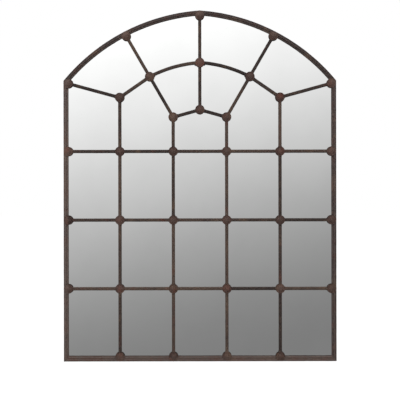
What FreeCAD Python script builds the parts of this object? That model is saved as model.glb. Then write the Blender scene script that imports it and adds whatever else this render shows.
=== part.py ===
"""Arched window mirror: a rusted iron window frame over one sheet of mirror glass.

The frame stands along +Z with its front towards -Y.  The origin is the bottom centre of the
whole mirror, bosses included.  X and Z places are bound to the sheet Sizes, directly or through
the named places of Layout.  Depths are counted backwards from the frame's front plane.
"""
import FreeCAD, Part
import math
import os
import Sketcher

SIZES = {
    # overall form of the frame
    "overall_width": 1100,
    "overall_height": 1415,
    "shoulder_height": 1132,
    "arch_offset": 54.5,
    # section of the frame members
    "frame_depth": 25,
    "frame_width": 20,
    "flat_width": 12,
    "rail_width": 23,
    "step_depth": 3,
    "leg_thickness": 3,
    "edge_bevel": 1.2,
    "lip_round": 2,
    # glass and board behind the bars
    "glass_setback": 8,
    "glass_thickness": 4,
    "board_thickness": 3,
    "edge_clearance": 1.5,
    # glazing bars
    "bar_width": 12.5,
    "bar_round": 4,
    "weld_gap": 0.2,
    # cast bosses over the joints
    "boss_diameter": 39,
    "boss_height": 6,
    "boss_rim": 2.6,
    "rim_round": 1,
    "hub_diameter": 22,
    # grid of bars
    "column_pitch": 215.5,
    "first_row_height": 293,
    "grid_top_drop": 8,
    # fan of bars in the arch, its lower joints measured down from the shoulders
    "fan_foot_drop": 147,
    "fan_crown_drop": 117,
    "fan_side_drop": 67.5,
    "fan_angle": 60,
    "fan_arc_radius": 505,
    "corner_boss_drop": 11,
    # tabs that hold the board
    "tab_width": 20,
    "tab_thickness": 1.5,
    "tab_rise": 8,
    "tab_foot": 14,
    # hangers
    "hanger_drop": 132,
    "plate_width": 40,
    "plate_height": 90,
    "plate_thickness": 2.5,
    "plate_round": 6,
    "strap_width": 16,
    "strap_thickness": 1.2,
    "strap_length": 22.5,
    "rivet_diameter": 4,
    "rivet_clearance": 0.05,
    "rivet_head_diameter": 7,
    "rivet_head_height": 1.5,
    "first_rivet_drop": 8,
    "rivet_pitch": 9,
    "wire_diameter": 4,
    "pivot_clearance": 0.08,
    "ring_opening_width": 22,
    "ring_corner_round": 5,
    "ring_side_length": 8,
}

ROW_NAMES = ("lower", "middle", "upper")
ARCH_TABS = 3

NEAR = 0.01

document = FreeCAD.newDocument("ArchedWindowMirror")
sheet = document.addObject("Spreadsheet::Sheet", "Sizes")
layout = document.addObject("App::VarSet", "Layout")
nodes = []


def fill_sheet():
    """Write the driving dimensions into the sheet, one named cell each."""
    for row, (name, size) in enumerate(SIZES.items(), start=1):
        sheet.set(f"A{row}", str(size))
        sheet.setAlias(f"A{row}", name)
    document.recompute()


def place(name, expression):
    """Add a named place or size that follows from the driving dimensions."""
    layout.addProperty("App::PropertyFloat", name, "Layout")
    layout.setExpression(name, expression)
    document.recompute()


def value(expression):
    """Return an expression's present value as a plain number."""
    result = layout.evalExpression(expression)
    return float(getattr(result, "Value", result))


def shoulder_z(inset):
    """Height at which the inset stile edge meets the inset arch edge."""
    across = f"(Layout.half_width - {inset} + Sizes.arch_offset)"
    return f"Layout.arch_centre_z + sqrt((Layout.arch_radius - {inset})^2 - {across}^2)"


def apex_z(inset):
    """Height on the axis at which the two inset arch edges meet."""
    return f"Layout.arch_centre_z + sqrt((Layout.arch_radius - {inset})^2 - Sizes.arch_offset^2)"


def fill_layout():
    """Work out the places that several pieces share."""
    place("half_width", "Sizes.overall_width / 2")
    place("front_y", "(Sizes.boss_height - Sizes.frame_depth) / 2")
    place("mitre_slope", "Sizes.rail_width / Sizes.frame_width")
    # each half of the arch is an arc about a centre beyond the axis, so the apex is a slight point
    rise = "(Sizes.overall_height - Sizes.shoulder_height)"
    spread = "((Layout.half_width + Sizes.arch_offset)^2 - Sizes.arch_offset^2)"
    middle = "(Sizes.overall_height + Sizes.shoulder_height) / 2"
    place("arch_centre_z", f"{middle} - {spread} / (2 * {rise})")
    place("arch_radius", "sqrt(Sizes.arch_offset^2 + (Sizes.overall_height - Layout.arch_centre_z)^2)")
    place("boss_radius", "Sizes.boss_diameter / 2")
    place("weld_radius", "Sizes.hub_diameter / 2 + Sizes.weld_gap")
    place("board_back", "Sizes.glass_setback + Sizes.glass_thickness + Sizes.board_thickness")
    # joints of the grid
    place("inner_x", "Sizes.column_pitch / 2")
    place("outer_x", "Sizes.column_pitch * 3 / 2")
    place("stile_boss_x", "Layout.half_width - Layout.boss_radius")
    place("corner_boss_z", "Sizes.shoulder_height - Sizes.corner_boss_drop")
    place("apex_boss_z", apex_z("Layout.boss_radius"))
    # the rows are evenly spaced, up to where one more row would lie just below the shoulders
    rows_room = "(Sizes.shoulder_height - Sizes.grid_top_drop - Sizes.first_row_height)"
    place("row_pitch", f"{rows_room} / {len(ROW_NAMES)}")
    for index, row in enumerate(ROW_NAMES):
        place(f"{row}_row_z", f"Sizes.first_row_height + {index} * Layout.row_pitch")
    # joints of the fan: the slanting spoke leaves the inner column's top at the fan angle
    for joint in ("foot", "crown", "side"):
        place(f"fan_{joint}_z", f"Sizes.shoulder_height - Sizes.fan_{joint}_drop")
    # the spoke's outer boss touches the arch's outer edge from within
    across = "(Layout.inner_x + Sizes.arch_offset)"
    up = "(Layout.fan_foot_z - Layout.arch_centre_z)"
    cosine = "cos(Sizes.fan_angle)"
    sine = "sin(Sizes.fan_angle)"
    place("along_spoke", f"{across} * {cosine} + {up} * {sine}")
    place("beside_spoke", f"{across} * {sine} - {up} * {cosine}")
    boss_circle = "(Layout.arch_radius - Layout.boss_radius)"
    place("spoke_reach", f"sqrt({boss_circle}^2 - Layout.beside_spoke^2) - Layout.along_spoke")
    place("arch_boss_x", f"Layout.inner_x + Layout.spoke_reach * {cosine}")
    place("arch_boss_z", f"Layout.fan_foot_z + Layout.spoke_reach * {sine}")
    # the fan's outer ring crosses the slanting spokes and the upright one midway
    place("fan_shoulder_x", "(Layout.inner_x + Layout.arch_boss_x) / 2")
    place("fan_shoulder_z", "(Layout.fan_foot_z + Layout.arch_boss_z) / 2")
    place("fan_top_z", "(Layout.fan_crown_z + Layout.apex_boss_z) / 2")
    # hangers: the knuckle of each strap lies on its plate
    place("wire_radius", "Sizes.wire_diameter / 2")
    place("bore_radius", "Layout.wire_radius + Sizes.pivot_clearance")
    place("knuckle_radius", "Layout.bore_radius + Sizes.strap_thickness")
    place("plate_back", "Layout.board_back + Sizes.plate_thickness")
    place("pivot_depth", "Layout.plate_back + Layout.knuckle_radius")
    place("plate_edge_x", "Layout.half_width - Sizes.leg_thickness - Sizes.weld_gap")
    place("hanger_x", "Layout.plate_edge_x - Sizes.plate_width / 2")
    place("hanger_z", "Sizes.shoulder_height - Sizes.hanger_drop")


def new_body(name, x="0", z="0", depth="0"):
    """Start a body whose local Y counts backwards from the front plane, at one place of the grid."""
    body = document.addObject("PartDesign::Body", name)
    body.Label = name
    body.setExpression("Placement.Base.x", x)
    body.setExpression("Placement.Base.y", f"Layout.front_y + {depth}")
    body.setExpression("Placement.Base.z", z)
    return body


def turn_body(body, axis, angle):
    """Turn a body about an axis through its own origin, by an angle that follows the sizes."""
    body.Placement = FreeCAD.Placement(body.Placement.Base, FreeCAD.Rotation(axis, 1))
    body.setExpression("Placement.Rotation.Angle", angle)


def new_sketch(body, role, depth="0"):
    """Start a sketch on one of the body's own planes, set back by a depth."""
    plane = next(part for part in body.Origin.OriginFeatures if part.Role == role)
    sketch = body.newObject("Sketcher::SketchObject", f"{body.Name}_Sketch")
    sketch.AttachmentSupport = [(plane, "")]
    sketch.MapMode = "FlatFace"
    sketch.setExpression("AttachmentOffset.Base.z", f"-({depth})")
    return sketch


def arc_between(start, finish, radius, side):
    """Return the short arc from start to finish whose centre lies left (1) or right (-1) of them."""
    chord = finish - start
    rise = math.sqrt(max(radius ** 2 - chord.Length ** 2 / 4, 0))
    across = FreeCAD.Vector(-chord.y, chord.x, 0).normalize()
    centre = (start + finish) / 2 + across * rise * side
    first, last = (start, finish) if side > 0 else (finish, start)
    first_angle = math.atan2(first.y - centre.y, first.x - centre.x)
    last_angle = math.atan2(last.y - centre.y, last.x - centre.x)
    return Part.ArcOfCircle(Part.Circle(centre, FreeCAD.Vector(0, 0, 1), radius), first_angle, last_angle)


def draw_outline(sketch, corners, bends=None):
    """Draw a closed outline through corners that stay bound to their expressions.

    bends maps a corner's number to (radius, side) where the edge that leaves it is an arc.
    """
    bends = bends or {}
    points = [FreeCAD.Vector(value(across), value(up), 0) for across, up in corners]
    ends = []
    for number, start in enumerate(points):
        finish = points[(number + 1) % len(points)]
        if number in bends:
            radius, side = bends[number]
            edge = sketch.addGeometry(arc_between(start, finish, value(radius), side))
            ends.append((1, 2) if side > 0 else (2, 1))
            limit = sketch.addConstraint(Sketcher.Constraint("Radius", edge, value(radius)))
            sketch.setExpression(f"Constraints[{limit}]", radius)
        else:
            sketch.addGeometry(Part.LineSegment(start, finish))
            ends.append((1, 2))
    for number, corner in enumerate(corners):
        following = (number + 1) % len(corners)
        sketch.addConstraint(Sketcher.Constraint(
            "Coincident", number, ends[number][1], following, ends[following][0]))
        for kind, axis, expression in (("DistanceX", -2, corner[0]), ("DistanceY", -1, corner[1])):
            if expression == "0":
                sketch.addConstraint(Sketcher.Constraint("PointOnObject", number, ends[number][0], axis))
                continue
            bound = sketch.addConstraint(Sketcher.Constraint(
                kind, -1, 1, number, ends[number][0], value(expression)))
            sketch.setExpression(f"Constraints[{bound}]", expression)


def draw_circle(sketch, across, up, radius):
    """Draw a circle whose centre and radius stay bound to their expressions."""
    centre = FreeCAD.Vector(value(across), value(up), 0)
    circle = sketch.addGeometry(Part.Circle(centre, FreeCAD.Vector(0, 0, 1), value(radius)))
    limit = sketch.addConstraint(Sketcher.Constraint("Radius", circle, value(radius)))
    sketch.setExpression(f"Constraints[{limit}]", radius)
    for kind, axis, expression in (("DistanceX", -2, across), ("DistanceY", -1, up)):
        if expression == "0":
            sketch.addConstraint(Sketcher.Constraint("PointOnObject", circle, 3, axis))
            continue
        bound = sketch.addConstraint(Sketcher.Constraint(kind, -1, 1, circle, 3, value(expression)))
        sketch.setExpression(f"Constraints[{bound}]", expression)


def pad_back(body, sketch, length):
    """Extrude a front-view sketch backwards."""
    pad = body.newObject("PartDesign::Pad", f"{body.Name}_Pad")
    pad.Profile = sketch
    pad.Reversed = True
    pad.setExpression("Length", length)
    return pad


def pad_across(body, sketch, length):
    """Extrude a side-view sketch evenly to both sides."""
    pad = body.newObject("PartDesign::Pad", f"{body.Name}_Pad")
    pad.Profile = sketch
    pad.Midplane = True
    pad.setExpression("Length", length)
    return pad


def cut_across(body, sketch, length):
    """Cut a side-view sketch through the body, evenly to both sides."""
    pocket = body.newObject("PartDesign::Pocket", f"{body.Name}_Pocket")
    pocket.Profile = sketch
    pocket.Midplane = True
    pocket.setExpression("Length", length)


def find_edges(base, chosen):
    """Return the names of a feature's edges whose sampled points all pass a test."""
    document.recompute()
    names = []
    for number, edge in enumerate(base.Shape.Edges, start=1):
        first, last = edge.ParameterRange
        samples = [edge.valueAt(first + (last - first) * share) for share in (0, 0.3, 0.7, 1)]
        if all(chosen(point, edge) for point in samples):
            names.append(f"Edge{number}")
    if not names:
        raise RuntimeError(f"{base.Label} has no such edge")
    return names


def round_edges(body, base, chosen, radius):
    """Round the edges of a feature that pass a test."""
    fillet = body.newObject("PartDesign::Fillet", f"{body.Name}_Fillet")
    fillet.Base = (base, find_edges(base, chosen))
    fillet.setExpression("Radius", radius)


def bevel_edges(body, base, chosen, size):
    """Bevel the edges of a feature that pass a test."""
    chamfer = body.newObject("PartDesign::Chamfer", f"{body.Name}_Chamfer")
    chamfer.Base = (base, find_edges(base, chosen))
    chamfer.setExpression("Size", size)
    return chamfer


def add_node(item, name):
    """Name an object as one node of the mirror."""
    item.Label = name
    nodes.append(item)
    return item


def mirrored(source, name):
    """Make the left-hand twin of a right-hand piece."""
    twin = document.addObject("Part::Mirroring", f"{name}_twin")
    twin.Source = source
    twin.Base = FreeCAD.Vector(0, 0, 0)
    twin.Normal = FreeCAD.Vector(1, 0, 0)
    twin.Label = name
    return twin


def grouped(items, name):
    """Gather equal pieces in one node, each still a solid of its own."""
    group = document.addObject("Part::Compound", f"{name}_group")
    group.Links = items
    return add_node(group, name)


# ---- frame ---------------------------------------------------------------------------------

def frame_member(name, outline, inset_of):
    """Build a frame member from its front flat, its set-back flange and its rear leg.

    outline(inset) gives the corners and bends of the strip between the outer edge and an inset,
    and inset_of(point) measures how far a point lies from the outer edge.
    """
    body = new_body(name)
    layers = (
        ("Sizes.flat_width", "0", "Sizes.step_depth"),
        ("Sizes.frame_width", "Sizes.step_depth", "Sizes.glass_setback"),
        ("Sizes.leg_thickness", "Sizes.glass_setback", "Sizes.frame_depth"),
    )
    for inset, front, back in layers:
        sketch = new_sketch(body, "XZ_Plane", front)
        draw_outline(sketch, *outline(inset))
        solid = pad_back(body, sketch, f"{back} - {front}")

    def at(point, depth, inset):
        return abs(point.y - depth) < NEAR and abs(inset_of(point) - inset) < NEAR

    flat = value("Sizes.flat_width") * inset_of.scale
    lip = value("Sizes.frame_width") * inset_of.scale
    step = value("Sizes.step_depth")

    def on_flat_edge(point, edge):
        return at(point, 0, 0) or at(point, 0, flat)

    def on_lip_edge(point, edge):
        return at(point, step, lip)

    bevelled = bevel_edges(body, solid, on_flat_edge, "Sizes.edge_bevel")
    round_edges(body, bevelled, on_lip_edge, "Sizes.lip_round")
    return body


class StileInset:
    """Distance from the right stile's outer edge."""

    scale = 1

    def __call__(self, point):
        return value("Layout.half_width") - point.x


class RailInset:
    """Distance from the bottom rail's outer edge; the rail's strips are wider than the stiles'."""

    def __init__(self):
        self.scale = value("Layout.mitre_slope")

    def __call__(self, point):
        return point.z


class ArchInset:
    """Distance from the outer edge of an arch half, the right one (1) or the left one (-1)."""

    scale = 1

    def __init__(self, side):
        self.side = side

    def __call__(self, point):
        across = self.side * point.x + value("Sizes.arch_offset")
        up = point.z - value("Layout.arch_centre_z")
        return value("Layout.arch_radius") - math.hypot(across, up)


def stile_outline(inset):
    """Strip of the right stile, mitred to the rail below and the arch above."""
    corners = [
        ("Layout.half_width", "0"),
        ("Layout.half_width", "Sizes.shoulder_height"),
        (f"Layout.half_width - {inset}", shoulder_z(inset)),
        (f"Layout.half_width - {inset}", f"{inset} * Layout.mitre_slope"),
    ]
    return corners, {}


def rail_outline(inset):
    """Strip of the bottom rail, mitred to both stiles; only its leg keeps the stiles' thickness."""
    height = f"{inset} * Layout.mitre_slope"
    if inset == "Sizes.leg_thickness":
        height = inset
    end = f"{height} / Layout.mitre_slope"
    corners = [
        ("-Layout.half_width", "0"),
        ("Layout.half_width", "0"),
        (f"Layout.half_width - {end}", height),
        (f"{end} - Layout.half_width", height),
    ]
    return corners, {}


def arch_outline(side):
    """Return the strips of one arch half, the right one (1) or the left one (-1)."""
    def strip(inset):
        """Strip of the arch half, from the shoulder mitre to the apex."""
        corners = [
            (f"{side} * Layout.half_width", "Sizes.shoulder_height"),
            ("0", "Sizes.overall_height"),
            ("0", apex_z(inset)),
            (f"{side} * (Layout.half_width - {inset})", shoulder_z(inset)),
        ]
        return corners, {0: ("Layout.arch_radius", side), 2: (f"Layout.arch_radius - {inset}", -side)}
    return strip


def build_frame():
    """Build the five welded members of the frame."""
    stile = add_node(frame_member("right_stile", stile_outline, StileInset()), "right_stile")
    add_node(mirrored(stile, "left_stile"), "left_stile")
    add_node(frame_member("bottom_rail", rail_outline, RailInset()), "bottom_rail")
    for name, side in (("arch_right", 1), ("arch_left", -1)):
        add_node(frame_member(name, arch_outline(side), ArchInset(side)), name)


# ---- glass and board -----------------------------------------------------------------------

def arched_sheet(name, front, thickness):
    """Build a sheet with the frame's inner outline, clear of the rear legs."""
    inset = "(Sizes.leg_thickness + Sizes.edge_clearance)"
    side = f"Layout.half_width - {inset}"
    corners = [
        (f"{inset} - Layout.half_width", inset),
        (side, inset),
        (side, shoulder_z(inset)),
        ("0", apex_z(inset)),
        (f"{inset} - Layout.half_width", shoulder_z(inset)),
    ]
    radius = f"Layout.arch_radius - {inset}"
    body = new_body(name)
    sketch = new_sketch(body, "XZ_Plane", front)
    draw_outline(sketch, corners, {2: (radius, 1), 3: (radius, 1)})
    pad_back(body, sketch, thickness)
    return add_node(body, name)


def build_sheets():
    """Build the one sheet of mirror and the board behind it."""
    arched_sheet("mirror_glass", "Sizes.glass_setback", "Sizes.glass_thickness")
    arched_sheet("backing_board", "Sizes.glass_setback + Sizes.glass_thickness", "Sizes.board_thickness")


# ---- glazing bars --------------------------------------------------------------------------

def joint_span(start, finish):
    """Return the expressions of the length and the angle from one joint to another."""
    across = f"({finish[0]} - ({start[0]}))"
    up = f"({finish[1]} - ({start[1]}))"
    return f"sqrt({across}^2 + {up}^2)", f"atan2({up}; {across})"


def finish_bar(body, outline, bends):
    """Give a bar its body and round its two long front edges."""
    sketch = new_sketch(body, "XZ_Plane")
    draw_outline(sketch, outline, bends)
    solid = pad_back(body, sketch, "Sizes.glass_setback")
    longest_end = value("Sizes.bar_width") * 1.5

    def on_long_edge(point, edge):
        return abs(point.y) < NEAR and edge.Length > longest_end

    round_edges(body, solid, on_long_edge, "Sizes.bar_round")


def bar(name, start, finish, start_cut=None, finish_cut=None):
    """Build a straight bar between two joints.

    An end is coped round its joint's hub, or cut square at a distance along the bar where it
    meets the frame.
    """
    length, angle = joint_span(start, finish)
    cope = "sqrt(Layout.weld_radius^2 - Sizes.bar_width^2 / 4)"
    near = start_cut or cope
    far = finish_cut or f"{length} - {cope}"
    half = "Sizes.bar_width / 2"
    body = new_body(name, *start)
    turn_body(body, FreeCAD.Vector(0, -1, 0), angle)
    bends = {}
    if finish_cut is None:
        bends[1] = ("Layout.weld_radius", -1)
    if start_cut is None:
        bends[3] = ("Layout.weld_radius", -1)
    finish_bar(body, [(near, f"-{half}"), (far, f"-{half}"), (far, half), (near, half)], bends)
    return body


def curved_bar(name, start, finish):
    """Build a bar that follows an arc between two joints, its centre below the bar."""
    length, angle = joint_span(start, finish)
    radius = "Sizes.fan_arc_radius"
    depth = f"sqrt({radius}^2 - ({length})^2 / 4)"

    def cope_point(edge_radius):
        cosine = f"({radius}^2 + {edge_radius}^2 - Layout.weld_radius^2) / (2 * {radius} * {edge_radius})"
        swing = f"(180 deg - acos({length} / (2 * {radius})) - acos({cosine}))"
        return (f"{length} / 2 + {edge_radius} * cos({swing})", f"{depth} - {edge_radius} * sin({swing})")

    outside = f"({radius} + Sizes.bar_width / 2)"
    inside = f"({radius} - Sizes.bar_width / 2)"
    out_x, out_z = cope_point(outside)
    in_x, in_z = cope_point(inside)
    body = new_body(name, *start)
    turn_body(body, FreeCAD.Vector(0, -1, 0), angle)
    corners = [
        (out_x, out_z),
        (f"{length} - ({out_x})", out_z),
        (f"{length} - ({in_x})", in_z),
        (in_x, in_z),
    ]
    weld = ("Layout.weld_radius", -1)
    finish_bar(body, corners, {0: (outside, 1), 1: weld, 2: (inside, -1), 3: weld})
    return body


def arch_reach(start, angle, side):
    """Distance along a bar at which one of its edges meets the arch's inner lip."""
    across = f"({start[0]} + Sizes.arch_offset)"
    up = f"({start[1]} - Layout.arch_centre_z)"
    along = f"({across} * cos({angle}) + {up} * sin({angle}))"
    beside = f"({across} * sin({angle}) - {up} * cos({angle}))"
    lip = "(Layout.arch_radius - Sizes.frame_width - Sizes.weld_gap)"
    return f"sqrt({lip}^2 - ({side} * Sizes.bar_width / 2 + {beside})^2) - {along}"


def build_row_bars():
    """Build the three rows, each of five bars between its six joints."""
    for row in ROW_NAMES:
        height = f"Layout.{row}_row_z"
        outer = ("Layout.outer_x", height)
        inner = ("Layout.inner_x", height)
        lip = "Layout.half_width - Sizes.frame_width - Sizes.weld_gap - Layout.outer_x"
        end_bar = bar(f"{row}_row_end_bar", outer, ("Layout.stile_boss_x", height), finish_cut=lip)
        side_bar = bar(f"{row}_row_side_bar", inner, outer)
        middle_bar = bar(f"{row}_row_middle_bar", ("-Layout.inner_x", height), inner)
        twins = [mirrored(piece, f"{piece.Label}_left") for piece in (end_bar, side_bar)]
        grouped([end_bar, side_bar, middle_bar] + twins, f"row_bars_{row}")


def build_column_bars():
    """Build the four columns, each of four bars from the bottom rail up to the fan."""
    rows = [f"Layout.{row}_row_z" for row in ROW_NAMES]
    for column, top in (("inner", "Layout.fan_foot_z"), ("outer", "Layout.fan_side_z")):
        across = f"Layout.{column}_x"
        joints = [(across, height) for height in ["Layout.boss_radius"] + rows + [top]]
        cut = "Sizes.rail_width + Sizes.weld_gap - Layout.boss_radius"
        pieces = []
        for number in range(len(joints) - 1):
            name = f"{column}_column_bar_{number + 1}"
            start_cut = cut if number == 0 else None
            pieces.append(bar(name, joints[number], joints[number + 1], start_cut))
        grouped(pieces, f"column_bars_{column}_right")
        twins = [mirrored(piece, f"{piece.Label}_left") for piece in pieces]
        grouped(twins, f"column_bars_{column}_left")


def build_fan_bars():
    """Build the bars of the fan: two rings of bars and the spokes between them."""
    foot = ("Layout.inner_x", "Layout.fan_foot_z")
    crown = ("0", "Layout.fan_crown_z")
    shoulder = ("Layout.fan_shoulder_x", "Layout.fan_shoulder_z")
    side = ("Layout.outer_x", "Layout.fan_side_z")
    top = ("0", "Layout.fan_top_z")
    arch_boss = ("Layout.arch_boss_x", "Layout.arch_boss_z")
    corner_boss = ("Layout.stile_boss_x", "Layout.corner_boss_z")

    left_edge_reach = arch_reach(shoulder, "Sizes.fan_angle", 1)
    right_edge_reach = arch_reach(shoulder, "Sizes.fan_angle", -1)
    spoke_cut = f"min({left_edge_reach}; {right_edge_reach})"
    corner_angle = joint_span(side, corner_boss)[1]
    half_across = f"Sizes.bar_width / 2 * sin({corner_angle})"
    stile_room = "Layout.half_width - Sizes.frame_width - Sizes.weld_gap - Layout.outer_x"
    stile_cut = f"({stile_room} - {half_across}) / cos({corner_angle})"
    corner_cut = f"min({stile_cut}; {arch_reach(side, corner_angle, -1)})"

    pairs = (
        ("low_fan_bar", bar("low_fan_bar_right", foot, crown)),
        ("fan_arc_bar", curved_bar("fan_arc_bar_right", shoulder, top)),
        ("fan_side_bar", bar("fan_side_bar_right", side, shoulder)),
        ("inner_spoke", bar("inner_spoke_right", foot, shoulder)),
        ("outer_spoke", bar("outer_spoke_right", shoulder, arch_boss, finish_cut=spoke_cut)),
        ("corner_spoke", bar("corner_spoke_right", side, corner_boss, finish_cut=corner_cut)),
    )
    for name, piece in pairs:
        add_node(piece, f"{name}_right")
        add_node(mirrored(piece, f"{name}_left"), f"{name}_left")

    add_node(bar("top_spoke_lower", crown, top), "top_spoke_lower")
    top_cut = arch_reach(top, "90 deg", 1)
    apex_boss = ("0", "Layout.apex_boss_z")
    add_node(bar("top_spoke_upper", top, apex_boss, finish_cut=top_cut), "top_spoke_upper")


# ---- bosses --------------------------------------------------------------------------------

def boss(name, joint, on_hub):
    """Build a domed cast boss; over a joint inside the frame it has a hub that the bars meet."""
    body = new_body(name, *joint)
    rise = "(Sizes.boss_height - Sizes.boss_rim)"
    dome = f"(Layout.boss_radius^2 + {rise}^2) / (2 * {rise})"
    corners = [
        ("0", "-Sizes.boss_height"),
        ("Layout.boss_radius", "-Sizes.boss_rim"),
        ("Layout.boss_radius", "0"),
    ]
    if on_hub:
        corners += [
            ("Sizes.hub_diameter / 2", "0"),
            ("Sizes.hub_diameter / 2", "Sizes.glass_setback"),
            ("0", "Sizes.glass_setback"),
        ]
    else:
        corners.append(("0", "0"))
    sketch = new_sketch(body, "XY_Plane")
    draw_outline(sketch, corners, {0: (dome, 1)})
    solid = body.newObject("PartDesign::Revolution", f"{name}_Revolution")
    solid.Profile = sketch
    solid.ReferenceAxis = (sketch, ["V_Axis"])
    solid.Angle = 360
    rim = value("-Sizes.boss_rim")
    radius = value("Layout.boss_radius")

    def on_rim(point, edge):
        return abs(point.y - rim) < NEAR and abs(math.hypot(point.x, point.z) - radius) < NEAR

    round_edges(body, solid, on_rim, "Sizes.rim_round")
    return body


def boss_group(name, joints):
    """Build a row of bosses; a joint off the axis has a left-hand twin."""
    pieces = []
    for number, (across, up, on_hub) in enumerate(joints, start=1):
        piece = boss(f"{name}_{number}", (across, up), on_hub)
        pieces.append(piece)
        if across != "0":
            pieces.append(mirrored(piece, f"{name}_{number}_left"))
    grouped(pieces, name)


def build_bosses():
    """Build the bosses on every joint of the bars and wherever a bar meets the frame."""
    boss_group("bosses_bottom", [
        ("Layout.inner_x", "Layout.boss_radius", False),
        ("Layout.outer_x", "Layout.boss_radius", False),
    ])
    for row in ROW_NAMES:
        height = f"Layout.{row}_row_z"
        boss_group(f"bosses_row_{row}", [
            ("Layout.inner_x", height, True),
            ("Layout.outer_x", height, True),
            ("Layout.stile_boss_x", height, False),
        ])
    boss_group("bosses_fan_inner", [
        ("0", "Layout.fan_crown_z", True),
        ("Layout.inner_x", "Layout.fan_foot_z", True),
    ])
    boss_group("bosses_fan_outer", [
        ("0", "Layout.fan_top_z", True),
        ("Layout.fan_shoulder_x", "Layout.fan_shoulder_z", True),
        ("Layout.outer_x", "Layout.fan_side_z", True),
    ])
    boss_group("bosses_arch", [
        ("0", "Layout.apex_boss_z", False),
        ("Layout.arch_boss_x", "Layout.arch_boss_z", False),
        ("Layout.stile_boss_x", "Layout.corner_boss_z", False),
    ])


# ---- tabs that hold the board --------------------------------------------------------------

def tab(name, across, up, outward):
    """Build a bent tab, welded to the rear leg at one place and pressed on the board."""
    body = new_body(name, across, up)
    turn_body(body, FreeCAD.Vector(0, 1, 0), outward)
    back = "Layout.board_back"
    wall = "-Sizes.weld_gap"
    inner = f"{wall} - Sizes.tab_thickness"
    tip = f"{wall} - Sizes.tab_foot"
    corners = [
        (back, wall),
        (back, tip),
        (f"{back} + Sizes.tab_thickness", tip),
        (f"{back} + Sizes.tab_thickness", inner),
        (f"{back} + Sizes.tab_rise", inner),
        (f"{back} + Sizes.tab_rise", wall),
    ]
    sketch = new_sketch(body, "YZ_Plane")
    draw_outline(sketch, corners)
    pad_across(body, sketch, "Sizes.tab_width")
    return body


def build_tabs():
    """Build the tabs round the board, between the bars' bosses and clear of the hangers."""
    leg = "Sizes.leg_thickness"
    pieces = [tab("tab_bottom_middle", "0", leg, "180 deg")]
    pairs = [tab("tab_bottom_side", "Sizes.column_pitch * 2", leg, "180 deg")]
    for index, row in enumerate(ROW_NAMES):
        height = f"Layout.{row}_row_z - Layout.row_pitch / 2"
        pairs.append(tab(f"tab_stile_{index + 1}", f"Layout.half_width - {leg}", height, "90 deg"))
    apex_angle = "asin(Sizes.arch_offset / Layout.arch_radius)"
    shoulder_angle = "asin((Layout.half_width + Sizes.arch_offset) / Layout.arch_radius)"
    for index in range(ARCH_TABS):
        share = (index + 0.5) / ARCH_TABS
        angle = f"({apex_angle} + ({shoulder_angle} - {apex_angle}) * {share})"
        reach = f"(Layout.arch_radius - {leg})"
        across = f"{reach} * sin({angle}) - Sizes.arch_offset"
        up = f"Layout.arch_centre_z + {reach} * cos({angle})"
        pairs.append(tab(f"tab_arch_{index + 1}", across, up, angle))
    twins = [mirrored(piece, f"{piece.Label}_left") for piece in pairs]
    grouped(pieces + pairs + twins, "retaining_tabs")


# ---- hangers -------------------------------------------------------------------------------

def rivet_drops():
    """Heights of the rivets below the ring's pivot."""
    return ("-Sizes.first_rivet_drop", "-Sizes.first_rivet_drop - Sizes.rivet_pitch")


def drill_rivet_holes(body, front, depth):
    """Cut the rivet holes backwards through a plate or a strap."""
    for drop in rivet_drops():
        sketch = new_sketch(body, "XZ_Plane", front)
        draw_circle(sketch, "0", drop, "Sizes.rivet_diameter / 2 + Sizes.rivet_clearance")
        pocket = body.newObject("PartDesign::Pocket", f"{body.Name}_Hole")
        pocket.Profile = sketch
        pocket.setExpression("Length", depth)


def hanger_plate():
    """Build the plate that is welded to the right stile's leg and lies on the board."""
    body = new_body("hanger_plate_right", "Layout.hanger_x", "Layout.hanger_z", "Layout.board_back")
    half = "Sizes.plate_width / 2"
    up = "Sizes.plate_height / 2"
    sketch = new_sketch(body, "XZ_Plane")
    draw_outline(sketch, [(f"-{half}", f"-{up}"), (half, f"-{up}"), (half, up), (f"-{half}", up)])
    solid = pad_back(body, sketch, "Sizes.plate_thickness")
    free_side = value(f"-{half}")
    thickness = value("Sizes.plate_thickness")

    def on_free_corner(point, edge):
        return abs(point.x - free_side) < NEAR and abs(edge.Length - thickness) < NEAR

    round_edges(body, solid, on_free_corner, "Sizes.plate_round")
    drill_rivet_holes(body, "0", "Sizes.plate_thickness")
    return body


def ring_strap():
    """Build the strap: a leaf on the plate and a knuckle round the ring's straight side."""
    body = new_body("ring_strap_right", "Layout.hanger_x", "Layout.hanger_z", "Layout.pivot_depth")
    back = "-Layout.knuckle_radius"
    front = f"{back} + Sizes.strap_thickness"
    leaf = new_sketch(body, "YZ_Plane")
    tip = "-Sizes.strap_length"
    draw_outline(leaf, [(back, tip), (front, tip), (front, "0"), (back, "0")])
    pad_across(body, leaf, "Sizes.strap_width")
    knuckle = new_sketch(body, "YZ_Plane")
    draw_circle(knuckle, "0", "0", "Layout.knuckle_radius")
    pad_across(body, knuckle, "Sizes.strap_width")
    bore = new_sketch(body, "YZ_Plane")
    draw_circle(bore, "0", "0", "Layout.bore_radius")
    cut_across(body, bore, "Sizes.strap_width + 2 * Sizes.strap_thickness")
    drill_rivet_holes(body, back, "Sizes.strap_thickness")
    return body


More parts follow.
